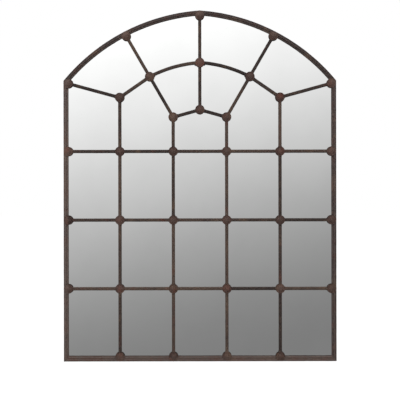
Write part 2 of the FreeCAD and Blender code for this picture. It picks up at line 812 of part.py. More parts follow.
def strap_rivet(name, drop):
    """Build a domed rivet through the plate and the strap's leaf."""
    height = f"Layout.hanger_z + {drop}"
    body = new_body(name, "Layout.hanger_x", height, "Layout.board_back")
    seat = "Sizes.plate_thickness + Sizes.strap_thickness"
    head = "Sizes.rivet_head_height"
    head_radius = "Sizes.rivet_head_diameter / 2"
    dome = f"(({head_radius})^2 + {head}^2) / (2 * {head})"
    corners = [
        ("0", "0"),
        ("Sizes.rivet_diameter / 2", "0"),
        ("Sizes.rivet_diameter / 2", seat),
        (head_radius, seat),
        ("0", f"{seat} + {head}"),
    ]
    sketch = new_sketch(body, "XY_Plane")
    draw_outline(sketch, corners, {3: (dome, 1)})
    solid = body.newObject("PartDesign::Revolution", f"{name}_Revolution")
    solid.Profile = sketch
    solid.ReferenceAxis = (sketch, ["V_Axis"])
    solid.Angle = 360
    return body


def hanging_ring():
    """Build the D-shaped wire ring, hanging from its straight side in the knuckle."""
    body = new_body("hanging_ring_right", "Layout.hanger_x", "Layout.hanger_z", "Layout.pivot_depth")
    half = "(Sizes.ring_opening_width / 2 + Layout.wire_radius)"
    corner = "Sizes.ring_corner_round"
    bow = f"-({corner} + Sizes.ring_side_length)"
    corners = [
        (f"{corner} - {half}", "0"),
        (f"{half} - {corner}", "0"),
        (half, f"-{corner}"),
        (half, bow),
        ("0", f"{bow} - {half}"),
        (f"-{half}", bow),
        (f"-{half}", f"-{corner}"),
    ]
    path = new_sketch(body, "XZ_Plane")
    draw_outline(path, corners, {1: (corner, -1), 3: (half, -1), 4: (half, -1), 6: (corner, -1)})
    section = new_sketch(body, "YZ_Plane")
    draw_circle(section, "0", "0", "Layout.wire_radius")
    document.recompute()
    pipe = body.newObject("PartDesign::AdditivePipe", "hanging_ring_right_Pipe")
    pipe.Profile = section
    pipe.Spine = (path, [])
    return body


def build_hangers():
    """Build both hangers: plates, straps, rivets and the rings that swing in the straps."""
    pairs = (
        ("hanger_plate", hanger_plate()),
        ("ring_strap", ring_strap()),
        ("hanging_ring", hanging_ring()),
    )
    for name, piece in pairs:
        add_node(piece, f"{name}_right")
        add_node(mirrored(piece, f"{name}_left"), f"{name}_left")
    drops = enumerate(rivet_drops(), start=1)
    rivets = [strap_rivet(f"strap_rivet_{number}", drop) for number, drop in drops]
    twins = [mirrored(rivet, f"{rivet.Label}_left") for rivet in rivets]
    grouped(rivets + twins, "strap_rivets")


# ---- checks and files ----------------------------------------------------------------------

def check_document():
    """Stop unless every object is computed and every node holds sound solids."""
    document.recompute()
    for item in document.Objects:
        if "Invalid" in item.State or "Error" in item.State:
            raise RuntimeError(f"{item.Label} failed: {item.State}")
    for item in nodes:
        if item.Shape.isNull() or not item.Shape.isValid() or not item.Shape.Solids:
            raise RuntimeError(f"{item.Label} has no sound solid")


def write_nodes():
    """Write each node to its own file and print what it holds."""
    os.makedirs("parts", exist_ok=True)
    for item in nodes:
        item.Shape.exportStep(f"parts/{item.Label}.step")
        print(f"{item.Label}: {len(item.Shape.Solids)} solids, {item.Shape.Volume:.1f} mm3")
    print(f"{len(nodes)} nodes")


fill_sheet()
fill_layout()
build_frame()
build_sheets()
build_row_bars()
build_column_bars()
build_fan_bars()
build_bosses()
build_tabs()
build_hangers()
check_document()
write_nodes()
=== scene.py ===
"""Looks of the arched window mirror: rusted iron bars and cast bosses over one sheet of mirror.

Metres, +Z up, front towards -Y.  Every place comes from the frame's own pieces.
"""
from __future__ import annotations

import logging
import math
import random
from dataclasses import dataclass, field
from enum import Enum
from typing import Any, Callable, Iterable, Sequence

import bmesh
import bpy
from mathutils import Matrix, Vector


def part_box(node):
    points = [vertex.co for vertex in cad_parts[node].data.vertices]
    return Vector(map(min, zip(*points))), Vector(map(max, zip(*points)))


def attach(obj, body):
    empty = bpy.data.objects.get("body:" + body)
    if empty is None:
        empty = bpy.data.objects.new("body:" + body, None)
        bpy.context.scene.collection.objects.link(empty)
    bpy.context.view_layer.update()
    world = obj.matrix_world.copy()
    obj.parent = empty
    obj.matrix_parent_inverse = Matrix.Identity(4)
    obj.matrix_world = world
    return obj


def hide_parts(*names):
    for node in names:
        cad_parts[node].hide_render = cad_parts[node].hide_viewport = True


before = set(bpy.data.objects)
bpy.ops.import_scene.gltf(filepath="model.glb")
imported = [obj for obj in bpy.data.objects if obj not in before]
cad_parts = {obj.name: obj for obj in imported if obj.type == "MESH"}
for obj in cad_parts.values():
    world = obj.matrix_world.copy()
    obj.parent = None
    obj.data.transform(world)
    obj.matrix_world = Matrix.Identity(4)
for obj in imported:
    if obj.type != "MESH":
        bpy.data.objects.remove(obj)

LOG = logging.getLogger("arched_window_mirror")
MM = 0.001
UP = Vector((0, 0, 1))
BACK = Vector((0, 1, 0))
RIGHT = Vector((1, 0, 0))
ONE = Vector((1, 1, 1))
FLIPPED = Vector((-1, 1, 1))
QUARTER = math.pi / 2
SLIVER = 0.1 * MM
SHEET_ANGLE = 30
ROLLED_ANGLE = 35
CAST_ANGLE = 45
WELD_ANGLE = 60

Corners = Sequence[Vector]
Test = Callable[[Corners], bool]
Colour = tuple[float, float, float]
Stops = tuple[tuple[float, float], ...]
Spread = tuple[float, float]


class Kind(Enum):
    """What an edit-mode selection picks."""

    VERTEX = "VERT"
    EDGE = "EDGE"
    FACE = "FACE"


class Keep(Enum):
    """Which side of a cutting plane stays."""

    BEHIND = "behind"
    AHEAD = "ahead"
    BOTH = "both"


def near(number: float, target: float, slack: float = 0.05 * MM) -> bool:
    """Tell whether two lengths are the same, to a twentieth of a millimetre."""
    return abs(number - target) < slack


def shade(*levels: float) -> Colour:
    """Turn red, green and blue as they look on a screen, 0 to 255, into linear light."""
    shares = [level / 255 for level in levels]
    return tuple(
        share / 12.92 if share <= 0.04045 else ((share + 0.055) / 1.055) ** 2.4 for share in shares)


# ---- workbench -----------------------------------------------------------------------------

class Workpiece:
    """One mesh on the bench, shaped from a primitive with Blender's own operators."""

    def __init__(self, item: bpy.types.Object) -> None:
        """Take an object in hand."""
        self.item = item

    @staticmethod
    def clear_bench() -> None:
        """Go back to object mode with nothing selected."""
        if bpy.context.mode != "OBJECT":
            bpy.ops.object.mode_set(mode="OBJECT")
        bpy.ops.object.select_all(action="DESELECT")

    @classmethod
    def started(cls, name: str, add: Callable, centre: Vector, scale: Vector = ONE,
                **settings: Any) -> Workpiece:
        """Start from a primitive at its size and place.

        Args:
            name: Name of the piece.
            add: Operator that adds the primitive.
            centre: Middle of the primitive.
            scale: Factors along its own axes.
            settings: The operator's own settings.

        Returns:
            The piece in hand.
        """
        cls.clear_bench()
        add(location=centre, **settings)
        piece = cls(bpy.context.object).named(name)
        piece.item.scale = scale
        return piece.settle()

    @classmethod
    def cube(cls, name: str, centre: Vector, size: Vector) -> Workpiece:
        """Start from a block with these edge lengths."""
        return cls.started(name, bpy.ops.mesh.primitive_cube_add, centre, size, size=1)

    @classmethod
    def side_plane(cls, name: str, low: Vector, high: Vector) -> Workpiece:
        """Start from a rectangle that stands square to X, between two corners."""
        return cls.started(
            name, bpy.ops.mesh.primitive_plane_add, (low + high) / 2,
            Vector((high.z - low.z, high.y - low.y, 1)), size=1, rotation=(0, QUARTER, 0))

    @classmethod
    def disc(cls, name: str, centre: Vector, radius: float, corners: int) -> Workpiece:
        """Start from a round plate that faces the front."""
        return cls.started(
            name, bpy.ops.mesh.primitive_circle_add, centre, vertices=corners, radius=radius,
            fill_type="NGON", rotation=(QUARTER, 0, 0))

    @classmethod
    def bead(cls, centre: Vector, size: Vector, name: str = "bead") -> Workpiece:
        """Start from a ball that is squashed to a bead of weld, with these half-lengths."""
        add = bpy.ops.mesh.primitive_ico_sphere_add
        return cls.started(name, add, centre, size, subdivisions=2, radius=1)

    @classmethod
    def joined(cls, pieces: Iterable[Workpiece], name: str) -> Workpiece:
        """Join pieces into one object.

        Args:
            pieces: What is joined.
            name: Name of the result.

        Returns:
            The joined piece.
        """
        cls.clear_bench()
        everything = list(pieces)
        for piece in everything:
            piece.item.select_set(True)
        bpy.context.view_layer.objects.active = everything[0].item
        if len(everything) > 1:
            bpy.ops.object.join()
        return everything[0].named(name)

    def named(self, name: str) -> Workpiece:
        """Name the object and its mesh."""
        self.item.name = self.item.data.name = name
        return self

    def _hold(self) -> None:
        """Make this the one active object, in object mode."""
        self.clear_bench()
        self.item.select_set(True)
        bpy.context.view_layer.objects.active = self.item

    def _edit(self) -> None:
        """Make this the one object in edit mode."""
        if bpy.context.mode == "EDIT_MESH" and bpy.context.object is self.item:
            return
        self._hold()
        bpy.ops.object.mode_set(mode="EDIT")

    def settle(self) -> Workpiece:
        """Move the object's own place, turn and size into its mesh.

        Returns:
            The same piece.
        """
        self._hold()
        bpy.ops.object.transform_apply(location=True, rotation=True, scale=True)
        return self

    def placed(self, spot: Vector = Vector(), turn: float = 0.0, size: Vector = ONE) -> Workpiece:
        """Size the piece, turn it about Y and carry it to a spot.

        Args:
            spot: Where its origin goes.
            turn: Angle about Y, which takes Z towards X.
            size: Factors along its own axes, below 0 for a mirror twin.

        Returns:
            The same piece.
        """
        self._hold()
        self.item.scale = size
        self.item.rotation_euler = (0, turn, 0)
        self.item.location = spot
        self.settle()
        if size.x * size.y * size.z < 0:
            self.face_outwards()
        return self

    def copy(self, name: str) -> Workpiece:
        """Make a copy with a mesh of its own.

        Args:
            name: Name of the copy.

        Returns:
            The copy.
        """
        self.clear_bench()
        twin = self.item.copy()
        twin.data = self.item.data.copy()
        bpy.context.scene.collection.objects.link(twin)
        return Workpiece(twin).named(name)

    def discard(self) -> None:
        """Take the piece off the bench."""
        self.clear_bench()
        mesh = self.item.data
        bpy.data.objects.remove(self.item)
        bpy.data.meshes.remove(mesh)

    def everything(self) -> Workpiece:
        """Select the whole mesh.

        Returns:
            The same piece.
        """
        self._edit()
        bpy.ops.mesh.select_all(action="SELECT")
        return self

    def select(self, kind: Kind, chosen: Test) -> Workpiece:
        """Select what passes a test on its corners.

        Args:
            kind: Whether vertices, edges or faces are picked.
            chosen: Takes the places of an element's corners.

        Returns:
            The same piece, with at least one element selected.

        Raises:
            ValueError: If nothing passes the test.
        """
        self._edit()
        bpy.ops.mesh.select_mode(type=kind.value)
        bpy.ops.mesh.select_all(action="DESELECT")
        shape = bmesh.from_edit_mesh(self.item.data)
        if kind is Kind.VERTEX:
            picked = [corner for corner in shape.verts if chosen([corner.co])]
        else:
            elements = shape.edges if kind is Kind.EDGE else shape.faces
            picked = [each for each in elements if chosen([corner.co for corner in each.verts])]
        if not picked:
            raise ValueError(f"{self.item.name} has no such {kind.name.lower()}")
        for element in picked:
            element.select_set(True)
        shape.select_flush_mode()
        bmesh.update_edit_mesh(self.item.data)
        return self

    def along(self, axis: int, least: float) -> Workpiece:
        """Select the edges that run along one axis and are longer than a length.

        Args:
            axis: Number of the axis.
            least: The length.

        Returns:
            The same piece.
        """
        def runs(ends: Corners) -> bool:
            """Tell whether an edge runs along the axis."""
            reach = abs(ends[0][axis] - ends[1][axis])
            return reach > least and (ends[0] - ends[1]).length < reach * 1.001

        return self.select(Kind.EDGE, runs)

    def pull(self, offset: Vector) -> Workpiece:
        """Extrude the selected faces by an offset."""
        bpy.ops.mesh.extrude_region_move(TRANSFORM_OT_translate={"value": offset})
        return self

    def pull_edges(self, offset: Vector) -> Workpiece:
        """Extrude the selected edges by an offset."""
        bpy.ops.mesh.extrude_edges_move(TRANSFORM_OT_translate={"value": offset})
        return self

    def inset(self, thickness: float, rise: float = 0.0) -> Workpiece:
        """Inset the selected faces and raise them along their normal."""
        bpy.ops.mesh.inset(thickness=thickness, depth=rise, use_even_offset=True)
        return self

    def round_off(self, width: float, steps: int = 3, affect: str = "EDGES") -> Workpiece:
        """Bevel the selected edges, or with VERTICES the selected corners of a flat outline."""
        bpy.ops.mesh.bevel(offset=width, segments=steps, profile=0.5, affect=affect)
        return self

    def divide(self, cuts: int) -> Workpiece:
        """Cut each selected edge into equal lengths."""
        bpy.ops.mesh.subdivide(number_cuts=cuts)
        return self

    def spin(self, centre: Vector, angle: float, steps: int) -> Workpiece:
        """Sweep what is selected round an axis along Y, from Z towards X."""
        bpy.ops.mesh.spin(steps=steps, angle=angle, center=centre, axis=-BACK)
        return self

    def cut(self, point: Vector, across: Vector, keep: Keep = Keep.BOTH) -> Workpiece:
        """Cut the whole mesh by a plane and close the cut if one side goes.

        Args:
            point: A point of the plane.
            across: The plane's normal.
            keep: The side that stays.

        Returns:
            The same piece.
        """
        self.everything()
        bpy.ops.mesh.bisect(
            plane_co=point, plane_no=across, use_fill=keep is not Keep.BOTH,
            clear_outer=keep is Keep.BEHIND, clear_inner=keep is Keep.AHEAD)
        return self

    def face_outwards(self) -> Workpiece:
        """Merge doubles and turn every face outwards.

        Returns:
            The same piece.
        """
        self.everything()
        bpy.ops.mesh.remove_doubles(threshold=0.001 * MM)
        bpy.ops.mesh.normals_make_consistent(inside=False)
        self.clear_bench()
        return self

    def finish_with(self, kind: str, **settings: Any) -> Workpiece:
        """Put a modifier on, set it up and apply it.

        Args:
            kind: Type of the modifier.
            settings: Its settings.

        Returns:
            The same piece.
        """
        self._hold()
        modifier = self.item.modifiers.new(kind.lower(), kind)
        for name, setting in settings.items():
            setattr(modifier, name, setting)
        bpy.ops.object.modifier_apply(modifier=modifier.name)
        return self

    def worn(self, *reliefs: Relief) -> Workpiece:
        """Sink the surface by uneven reliefs, never outwards.

        Args:
            reliefs: The reliefs, one after the other.

        Returns:
            The same piece.
        """
        for relief in reliefs:
            self.finish_with(
                "DISPLACE", texture=relief.texture(), texture_coords="LOCAL",
                strength=relief.depth, mid_level=1.0)
        return self

    def mark(self, name: str, level: Callable[[bpy.types.MeshVertex], float]) -> Workpiece:
        """Store a number at each vertex for the finish to read.

        Args:
            name: Name of the attribute.
            level: Gives the number of a vertex.

        Returns:
            The same piece.
        """
        self.clear_bench()
        mesh = self.item.data
        layer = mesh.attributes.get(name) or mesh.attributes.new(name, "FLOAT", "POINT")
        for vertex in mesh.vertices:
            layer.data[vertex.index].value = level(vertex)
        return self

    def smooth(self, angle: float) -> Workpiece:
        """Shade smooth, but keep sharp edges.

        Args:
            angle: Where an edge counts as sharp, in degrees.

        Returns:
            The same piece.
        """
        self._hold()
        bpy.ops.object.shade_smooth_by_angle(angle=math.radians(angle))
        return self

    def deliver(self, finish: Finish, *nodes: str) -> None:
        """Dress the finished piece and hand it to the frame.

        Args:
            finish: What it is finished in.
            nodes: The CAD nodes that it stands for.
        """
        self.clear_bench()
        finish.coat(self.item)
        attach(self.item, "root")
        if nodes:
            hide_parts(*nodes)
        LOG.info("%s: %d faces", self.item.name, len(self.item.data.polygons))


@dataclass(frozen=True)
class Relief:
    """An uneven surface: how deep it is and how far apart its humps lie."""

    name: str
    depth: float
    spacing: float
    octaves: int = 3

    def texture(self) -> bpy.types.Texture:
        """Make the relief's cloud texture on first use.

        Returns:
            The texture.
        """
        texture = bpy.data.textures.get(self.name)
        if texture is None:
            texture = bpy.data.textures.new(self.name, "CLOUDS")
            texture.noise_scale = self.spacing
            texture.noise_depth = self.octaves
        return texture


def weld_row(start: Vector, step: Vector, count: int, size: Vector, draw: random.Random,
             spread: Spread = (0.8, 1.15)) -> list[Workpiece]:
    """Lay an even row of weld beads of uneven sizes.

    Args:
        start: Middle of the first bead.
        step: From one bead to the next.
        count: Number of beads.
        size: Half-lengths of a plain bead.
        draw: Source of the uneven sizes.
        spread: Smallest and largest factor on the size.

    Returns:
        The beads.
    """
    return [
        Workpiece.bead(start + step * number, size * draw.uniform(*spread))
        for number in range(count)
    ]


# ---- shader bench --------------------------------------------------------------------------

class Signal:
    """A node's output that adds Math nodes when it is used in an expression."""

    def __init__(self, bench: Recipe, output: bpy.types.NodeSocket) -> None:
        """Wrap an output of a node tree."""
        self.bench = bench
        self.output = output

    def __add__(self, other: Any) -> Signal:
        """Add."""
        return self.bench.math("ADD", self, other)

    __radd__ = __add__

    def __sub__(self, other: Any) -> Signal:
        """Subtract."""
        return self.bench.math("SUBTRACT", self, other)

    def __rsub__(self, other: Any) -> Signal:
        """Subtract this from something."""
        return self.bench.math("SUBTRACT", other, self)

    def __mul__(self, other: Any) -> Signal:
        """Multiply."""
        return self.bench.math("MULTIPLY", self, other)

    __rmul__ = __mul__


class Recipe:
    """A node tree and the one method that adds nodes to it."""

    def __init__(self, tree: bpy.types.NodeTree) -> None:
        """Start with an empty tree."""
        self.tree = tree
        tree.nodes.clear()

    def node(self, kind: str, settings: dict[str, Any] | None = None,
             **sockets: Any) -> bpy.types.Node:
        """Add a node, set it up and feed its sockets.

        Args:
            kind: Type of the node, without its family's prefix.
            settings: The node's own settings.
            sockets: Values or signals by socket name, with _ for a space.

        Returns:
            The node.
        """
        made = self.tree.nodes.new(f"ShaderNode{kind}")
        for name, setting in (settings or {}).items():
            setattr(made, name, setting)
        self.feed(made, {name.replace("_", " "): each for name, each in sockets.items()})
        return made

    def feed(self, node: bpy.types.Node, sockets: dict[str | int, Any]) -> None:
        """Link signals to a node's sockets, or set the sockets' own values.

        Args:
            node: The node.
            sockets: Signal or value by the socket's name or number.
        """
        for socket, content in sockets.items():
            target = node.inputs[socket]
            if isinstance(content, Signal):
                self.tree.links.new(content.output, target)
            elif isinstance(content, tuple) and target.type == "RGBA":
                target.default_value = (*content, 1.0)
            else:
                target.default_value = content

    def out(self, node: bpy.types.Node, socket: str | int = 0) -> Signal:
        """Wrap one output of a node."""
        return Signal(self, node.outputs[socket])

    def math(self, operation: str, first: Any, second: Any) -> Signal:
        """Add a Math node over signals or numbers.

        Args:
            operation: What it works out.
            first: Its first value.
            second: Its second value.

        Returns:
            The result.
        """
        made = self.node("Math", {"operation": operation})
        self.feed(made, {0: first, 1: second})
        return self.out(made)

    def place(self) -> Signal:
        """Return the place on the piece, in its own metres."""
        return self.out(self.node("TexCoord"), "Object")

    def stored(self, name: str) -> Signal:
        """Return a number stored on the mesh, 0 where there is none."""
        return self.out(self.node("Attribute", {"attribute_name": name}), "Fac")

    def stretched(self, place: Signal, *size: float) -> Signal:
        """Return the place scaled along the axes."""
        return self.out(self.node("Mapping", Vector=place, Scale=size))

    def noise(self, place: Signal, spacing: float, detail: float = 3.0,
              warp: float = 0.0) -> Signal:
        """Return soft noise, 0 to 1, whose humps lie about a spacing apart."""
        return self.out(self.node(
            "TexNoise", Vector=place, Scale=1 / spacing, Detail=detail, Roughness=0.6,
            Distortion=warp))

    def cells(self, place: Signal, spacing: float) -> Signal:
        """Return the distance to the nearest of scattered points, in spacings."""
        return self.out(self.node("TexVoronoi", Vector=place, Scale=1 / spacing), "Distance")

    def between(self, signal: Signal, low: float, high: float) -> Signal:
        """Return 0 at low, 1 at high and a smooth climb between."""
        smooth = {"interpolation_type": "SMOOTHSTEP"}
        return self.out(self.node("MapRange", smooth, Value=signal, From_Min=low, From_Max=high))

    def blend(self, share: Signal, first: Any, second: Any) -> Signal:
        """Mix two colours.

        Args:
            share: Share of the second colour.
            first: The first colour.
            second: The second colour.

        Returns:
            The mixed colour.
        """
        made = self.node("Mix", {"data_type": "RGBA"})
        self.feed(made, {0: share, 6: first, 7: second})
        return self.out(made, 2)

    def weighed(self, signals: Sequence[Signal], weights: Sequence[float]) -> Signal:
        """Add signals up by their weights.

        Args:
            signals: The signals.
            weights: One weight for each.

        Returns:
            The sum.
        """
        first, *others = (signal * weight for signal, weight in zip(signals, weights))
        return sum(others, first)

    def bump(self, height: Signal, distance: float) -> Signal:
        """Turn a height into a bent normal."""
        return self.out(self.node("Bump", Height=height, Distance=distance, Strength=1.0))


class Finish:
    """A surface finish: makes its material once and gives it to pieces."""

    name: str
    slot: str

    def dress(self, recipe: Recipe) -> dict[str | int, Any]:
        """Return what the surface shader is fed; each finish makes it in its own way."""
        raise NotImplementedError

    def material(self) -> bpy.types.Material:
        """Make the finish's material on first use.

        Returns:
            The material.
        """
        made = bpy.data.materials.get(self.name)
        if made is None:
            made = bpy.data.materials.new(self.name)
            made.use_nodes = True
            recipe = Recipe(made.node_tree)
            shader = recipe.node("BsdfPrincipled")
            recipe.feed(shader, self.dress(recipe))
            recipe.node("OutputMaterial", Surface=recipe.out(shader))
        return made

    def coat(self, item: bpy.types.Object) -> None:
        """Give an object this finish all over.

        Args:
            item: The object.
        """
        material = self.material()
        if not item.material_slots:
            item.data.materials.append(material)
        for holder in item.material_slots:
            holder.material = material


@dataclass(frozen=True)
class RustedIron(Finish):
    """Waxed iron: dark brown, blackened in the pits, rusted red and ochre in patches, with painted
    light and shade by how it faces the front.
    """

    name: str
    slot: str
    cool: Colour = shade(56, 44, 43)
    warm: Colour = shade(73, 59, 52)
    # Black of the pits and grain, also used as painted shade on faces turned away from the front.
    soot_and_shade: Colour = shade(28, 23, 22)
    rust: Colour = shade(90, 52, 43)
    ochre: Colour = shade(98, 76, 60)
    # Worn metal colour, also used as a painted highlight where the surface faces the front.
    worn_and_lit_metal: Colour = shade(108, 94, 87)
    rust_edge: float = 0.60
    rust_fade: float = 0.2
    heart: float = 0.0
    rouge: float = 0.08
    deep_share: float = 0.75
    red_share: float = 0.6
    ochre_share: float = 0.5
    rubbed_and_lit_share: float = 0.45
    painted_shade_share: float = 0.6
    pit_share: float = 0.6
    deep_span: Spread = (0.62, 0.36)
    warm_span: Spread = (0.36, 0.66)
    ochre_span: Spread = (0.68, 0.86)
    rubbed_and_lit_span: Spread = (0.8, 1.5)
    painted_shade_span: Spread = (0.32, 0.1)
    pit_span: Spread = (0.42, 0.2)
    hollow_span: Spread = (0.0, 0.45)
    warm_tone: float = 0.12
    deep_tone: float = 0.16
    red_grain: float = 0.18
    edge_grain: float = 0.3
    pit_grain: float = 0.5
    bare_and_lit_mix: tuple[float, ...] = (0.62, 0.16, 0.9, 0.4)
    height_mix: tuple[float, ...] = (0.6, 0.4, 0.15)
    rough_mix: tuple[float, ...] = (0.25, 0.12, -0.15)
    patch: float = 45 * MM
    drift: float = 85 * MM
    grain: float = 4 * MM
    relief: float = 0.6 * MM
    gloss: float = 0.35
    wax: float = 0.6

    def dress(self, recipe: Recipe) -> dict[str | int, Any]:
        """Mix the tones by patches, by grain and by how squarely the surface faces the front, which
        paints light on front faces and shade on faces turned away.

        Args:
            recipe: The node tree that is filled.

        Returns:
            What the sockets of the surface shader are fed.
        """
        place = recipe.place()
        tone = recipe.stored("tone")
        # The stored crown level is painted light: high on faces that face the front, low on faces
        # turned away; on the frame it also holds dust on the set-back lip.
        crown = recipe.stored("crown")
        patches = recipe.noise(place, self.patch, 4, 0.6)
        streaks = recipe.noise(place, self.drift, 3, 0.5)
        grain = recipe.noise(place, self.grain, 5)
        pits = recipe.cells(place, self.grain * 0.9)
        fine = recipe.noise(place, self.grain * 0.25, 2)

        warmth = recipe.between(streaks + tone * self.warm_tone, *self.warm_span)
        depth = recipe.between(grain + tone * self.deep_tone, *self.deep_span)
        red = patches + tone * self.rouge + grain * self.red_grain + crown * self.heart
        rusty = recipe.between(red, self.rust_edge, self.rust_edge + self.rust_fade)
        yellow = recipe.between(streaks + grain * self.edge_grain, *self.ochre_span)
        # Painted highlight mixed with wear: lighter metal where the crown level is high, on faces
        # that face the front, stirred by tone and grain.
        bare = recipe.weighed((crown, tone, grain, fine), self.bare_and_lit_mix)
        rubbed_and_lit = recipe.between(bare, *self.rubbed_and_lit_span)
        # Painted shade: darker where the crown level is low, on rims, steps and bar sides that turn
        # away from the front.
        painted_shade = recipe.between(crown + grain * self.edge_grain, *self.painted_shade_span)
        pitted = recipe.between(pits + grain * self.pit_grain, *self.pit_span)
        hollows = recipe.between(pits, *self.hollow_span)

        colour = recipe.blend(warmth, self.cool, self.warm)
        for share, tint in (
                (depth * self.deep_share, self.soot_and_shade),
                (rusty * self.red_share, self.rust),
                (yellow * self.ochre_share, self.ochre),
                (rubbed_and_lit * self.rubbed_and_lit_share, self.worn_and_lit_metal),
                (painted_shade * self.painted_shade_share, self.soot_and_shade),
                (pitted * self.pit_share, self.soot_and_shade)):
            colour = recipe.blend(share, colour, tint)
        height = recipe.weighed((grain, hollows, fine), self.height_mix)
        return {
            "Base Color": colour,
            "Metallic": 0.0,
            "Specular IOR Level": self.gloss,
            "Roughness": self.wax + recipe.weighed((rusty, depth, rubbed_and_lit), self.rough_mix),
            "Normal": recipe.bump(height, self.relief),
        }


@dataclass(frozen=True)
class SilveredGlass(Finish):
    """Mirror glass with the faintest film of dust."""

    name: str = "silvered_glass"
    slot: str = "mirror"
    silver: Colour = (0.93, 0.935, 0.93)
    film: Colour = (0.90, 0.905, 0.90)
    cloud: float = 0.25
    haze_span: Spread = (0.35, 0.7)
    haze_rough: float = 0.012
    polish: float = 0.015

    def dress(self, recipe: Recipe) -> dict[str | int, Any]:
        """Keep the mirror clear, with a slight change of tint over its face.

        Args:
            recipe: The node tree that is filled.

        Returns:
            What the sockets of the surface shader are fed.
        """
        haze = recipe.between(recipe.noise(recipe.place(), self.cloud), *self.haze_span)
        return {
            "Base Color": recipe.blend(haze, self.silver, self.film),
            "Metallic": 1.0,
            "Roughness": self.polish + self.haze_rough * haze,
        }


@dataclass(frozen=True)
class Hardboard(Finish):
    """Pressed brown fibre board."""

    name: str = "hardboard"
    slot: str = "board"
    light: Colour = shade(150, 116, 80)
    dark: Colour = shade(118, 86, 56)
    stain: Colour = shade(92, 66, 44)
    stain_share: float = 0.45
    stain_span: Spread = (0.66, 0.8)
    light_span: Spread = (0.45, 1.05)
    cloud_share: float = 0.5
    cloud: float = 0.22
    blot: float = 0.09
    pulp: float = 2.5 * MM
    fibre_mix: tuple[float, ...] = (0.22, 0.22, 0.56)
    dry: float = 0.72
    fibre_rough: float = 0.12
    lying: tuple[float, float, float] = (260, 260, 1500)
    standing: tuple[float, float, float] = (1500, 1500, 260)
    relief: float = 0.12 * MM

    def dress(self, recipe: Recipe) -> dict[str | int, Any]:
        """Lay short fibres, soft clouds and a few stains over the board.

        Args:
            recipe: The node tree that is filled.

        Returns:
            What the sockets of the surface shader are fed.
        """
        place = recipe.place()
        clouds = recipe.noise(place, self.cloud)
        lying = recipe.noise(recipe.stretched(place, *self.lying), 1.0)
        standing = recipe.noise(recipe.stretched(place, *self.standing), 1.0)
        pulp = recipe.noise(place, self.pulp, 4, 0.5)
        fibres = recipe.weighed((lying, standing, pulp), self.fibre_mix)
        lightness = recipe.between(fibres + clouds * self.cloud_share, *self.light_span)
        spots = recipe.between(recipe.noise(place, self.blot, 2, 1.0), *self.stain_span)
        plain = recipe.blend(lightness, self.dark, self.light)
        return {
            "Base Color": recipe.blend(spots * self.stain_share, plain, self.stain),
            "Roughness": self.dry + self.fibre_rough * fibres,
            "Normal": recipe.bump(fibres, self.relief),
        }


@dataclass(frozen=True)
class DullSteel(Finish):
    """Plated or bare sheet steel, dulled by handling."""

    name: str
    slot: str
    bright: Colour = shade(168, 166, 160)
    dull: Colour = shade(134, 131, 125)
    spot: Colour = shade(100, 78, 60)
    spot_share: float = 0.6
    spot_span: Spread = (0.62, 0.74)
    cloud_span: Spread = (0.35, 0.7)
    spot_bare: float = 0.8
    rough_mix: tuple[float, ...] = (0.2, 0.1, 0.3)
    polish: float = 0.32
    grain: float = 3 * MM
    scratch: tuple[float, float, float] = (300, 300, 2600)
    relief: float = 0.03 * MM

    def dress(self, recipe: Recipe) -> dict[str | int, Any]:
        """Cloud the plating, scratch it finely and let a few spots of rust through.

        Args:
            recipe: The node tree that is filled.

        Returns:
            What the sockets of the surface shader are fed.
        """
        place = recipe.place()
        clouds = recipe.noise(place, self.grain * 4, 3, 0.4)
        scratches = recipe.noise(recipe.stretched(place, *self.scratch), 1.0, 2)
        cloudy = recipe.between(clouds, *self.cloud_span)
        plain = recipe.blend(cloudy, self.bright, self.dull)
        spots = recipe.between(recipe.noise(place, self.grain, 4), *self.spot_span)
        roughness = recipe.weighed((clouds, scratches, spots), self.rough_mix)
        return {
            "Base Color": recipe.blend(spots * self.spot_share, plain, self.spot),
            "Metallic": 1.0 - self.spot_bare * spots,
            "Roughness": self.polish + roughness,
            "Normal": recipe.bump(scratches + clouds, self.relief),
        }


FRAME_IRON = RustedIron(
    "rolled_frame_iron", "frame_iron", worn_and_lit_metal=shade(122, 107, 101), red_share=0.42,
    rubbed_and_lit_share=0.62, painted_shade_share=0.7)
BAR_IRON = RustedIron(
    "rolled_bar_iron", "frame_iron", cool=shade(60, 46, 41), warm=shade(79, 62, 51),
    rust_edge=0.64, patch=60 * MM)
BOSS_IRON = RustedIron(
    "cast_boss_iron", "boss_iron", cool=shade(77, 55, 49), warm=shade(92, 69, 60),
    soot_and_shade=shade(36, 27, 24), rust=shade(102, 54, 42), rust_edge=0.72, heart=0.14, rouge=0.2,
    red_share=0.85, rubbed_and_lit_share=0.34, painted_shade_share=0.35, patch=120 * MM, grain=3 * MM,
    relief=0.7 * MM, wax=0.64)
WELD_IRON = RustedIron(
    "weld_iron", "frame_iron", cool=shade(82, 70, 64), warm=shade(94, 80, 70),
    soot_and_shade=shade(48, 40, 37), patch=12 * MM, grain=2 * MM)
GLASS = SilveredGlass()
BOARD = Hardboard()
PLATED = DullSteel("plated_hanger_steel", "hanger_steel")
TAB_STEEL = DullSteel(
    "bare_tab_steel", "tab_steel", bright=shade(120, 116, 110), dull=shade(84, 80, 76),
    polish=0.45)


# ---- places read from the frame ------------------------------------------------------------

@dataclass(frozen=True)
class Solid:
    """The box of one separate solid of a node."""

    low: Vector
    high: Vector

    @property
    def middle(self) -> Vector:
        """Middle of the box."""
        return (self.low + self.high) / 2


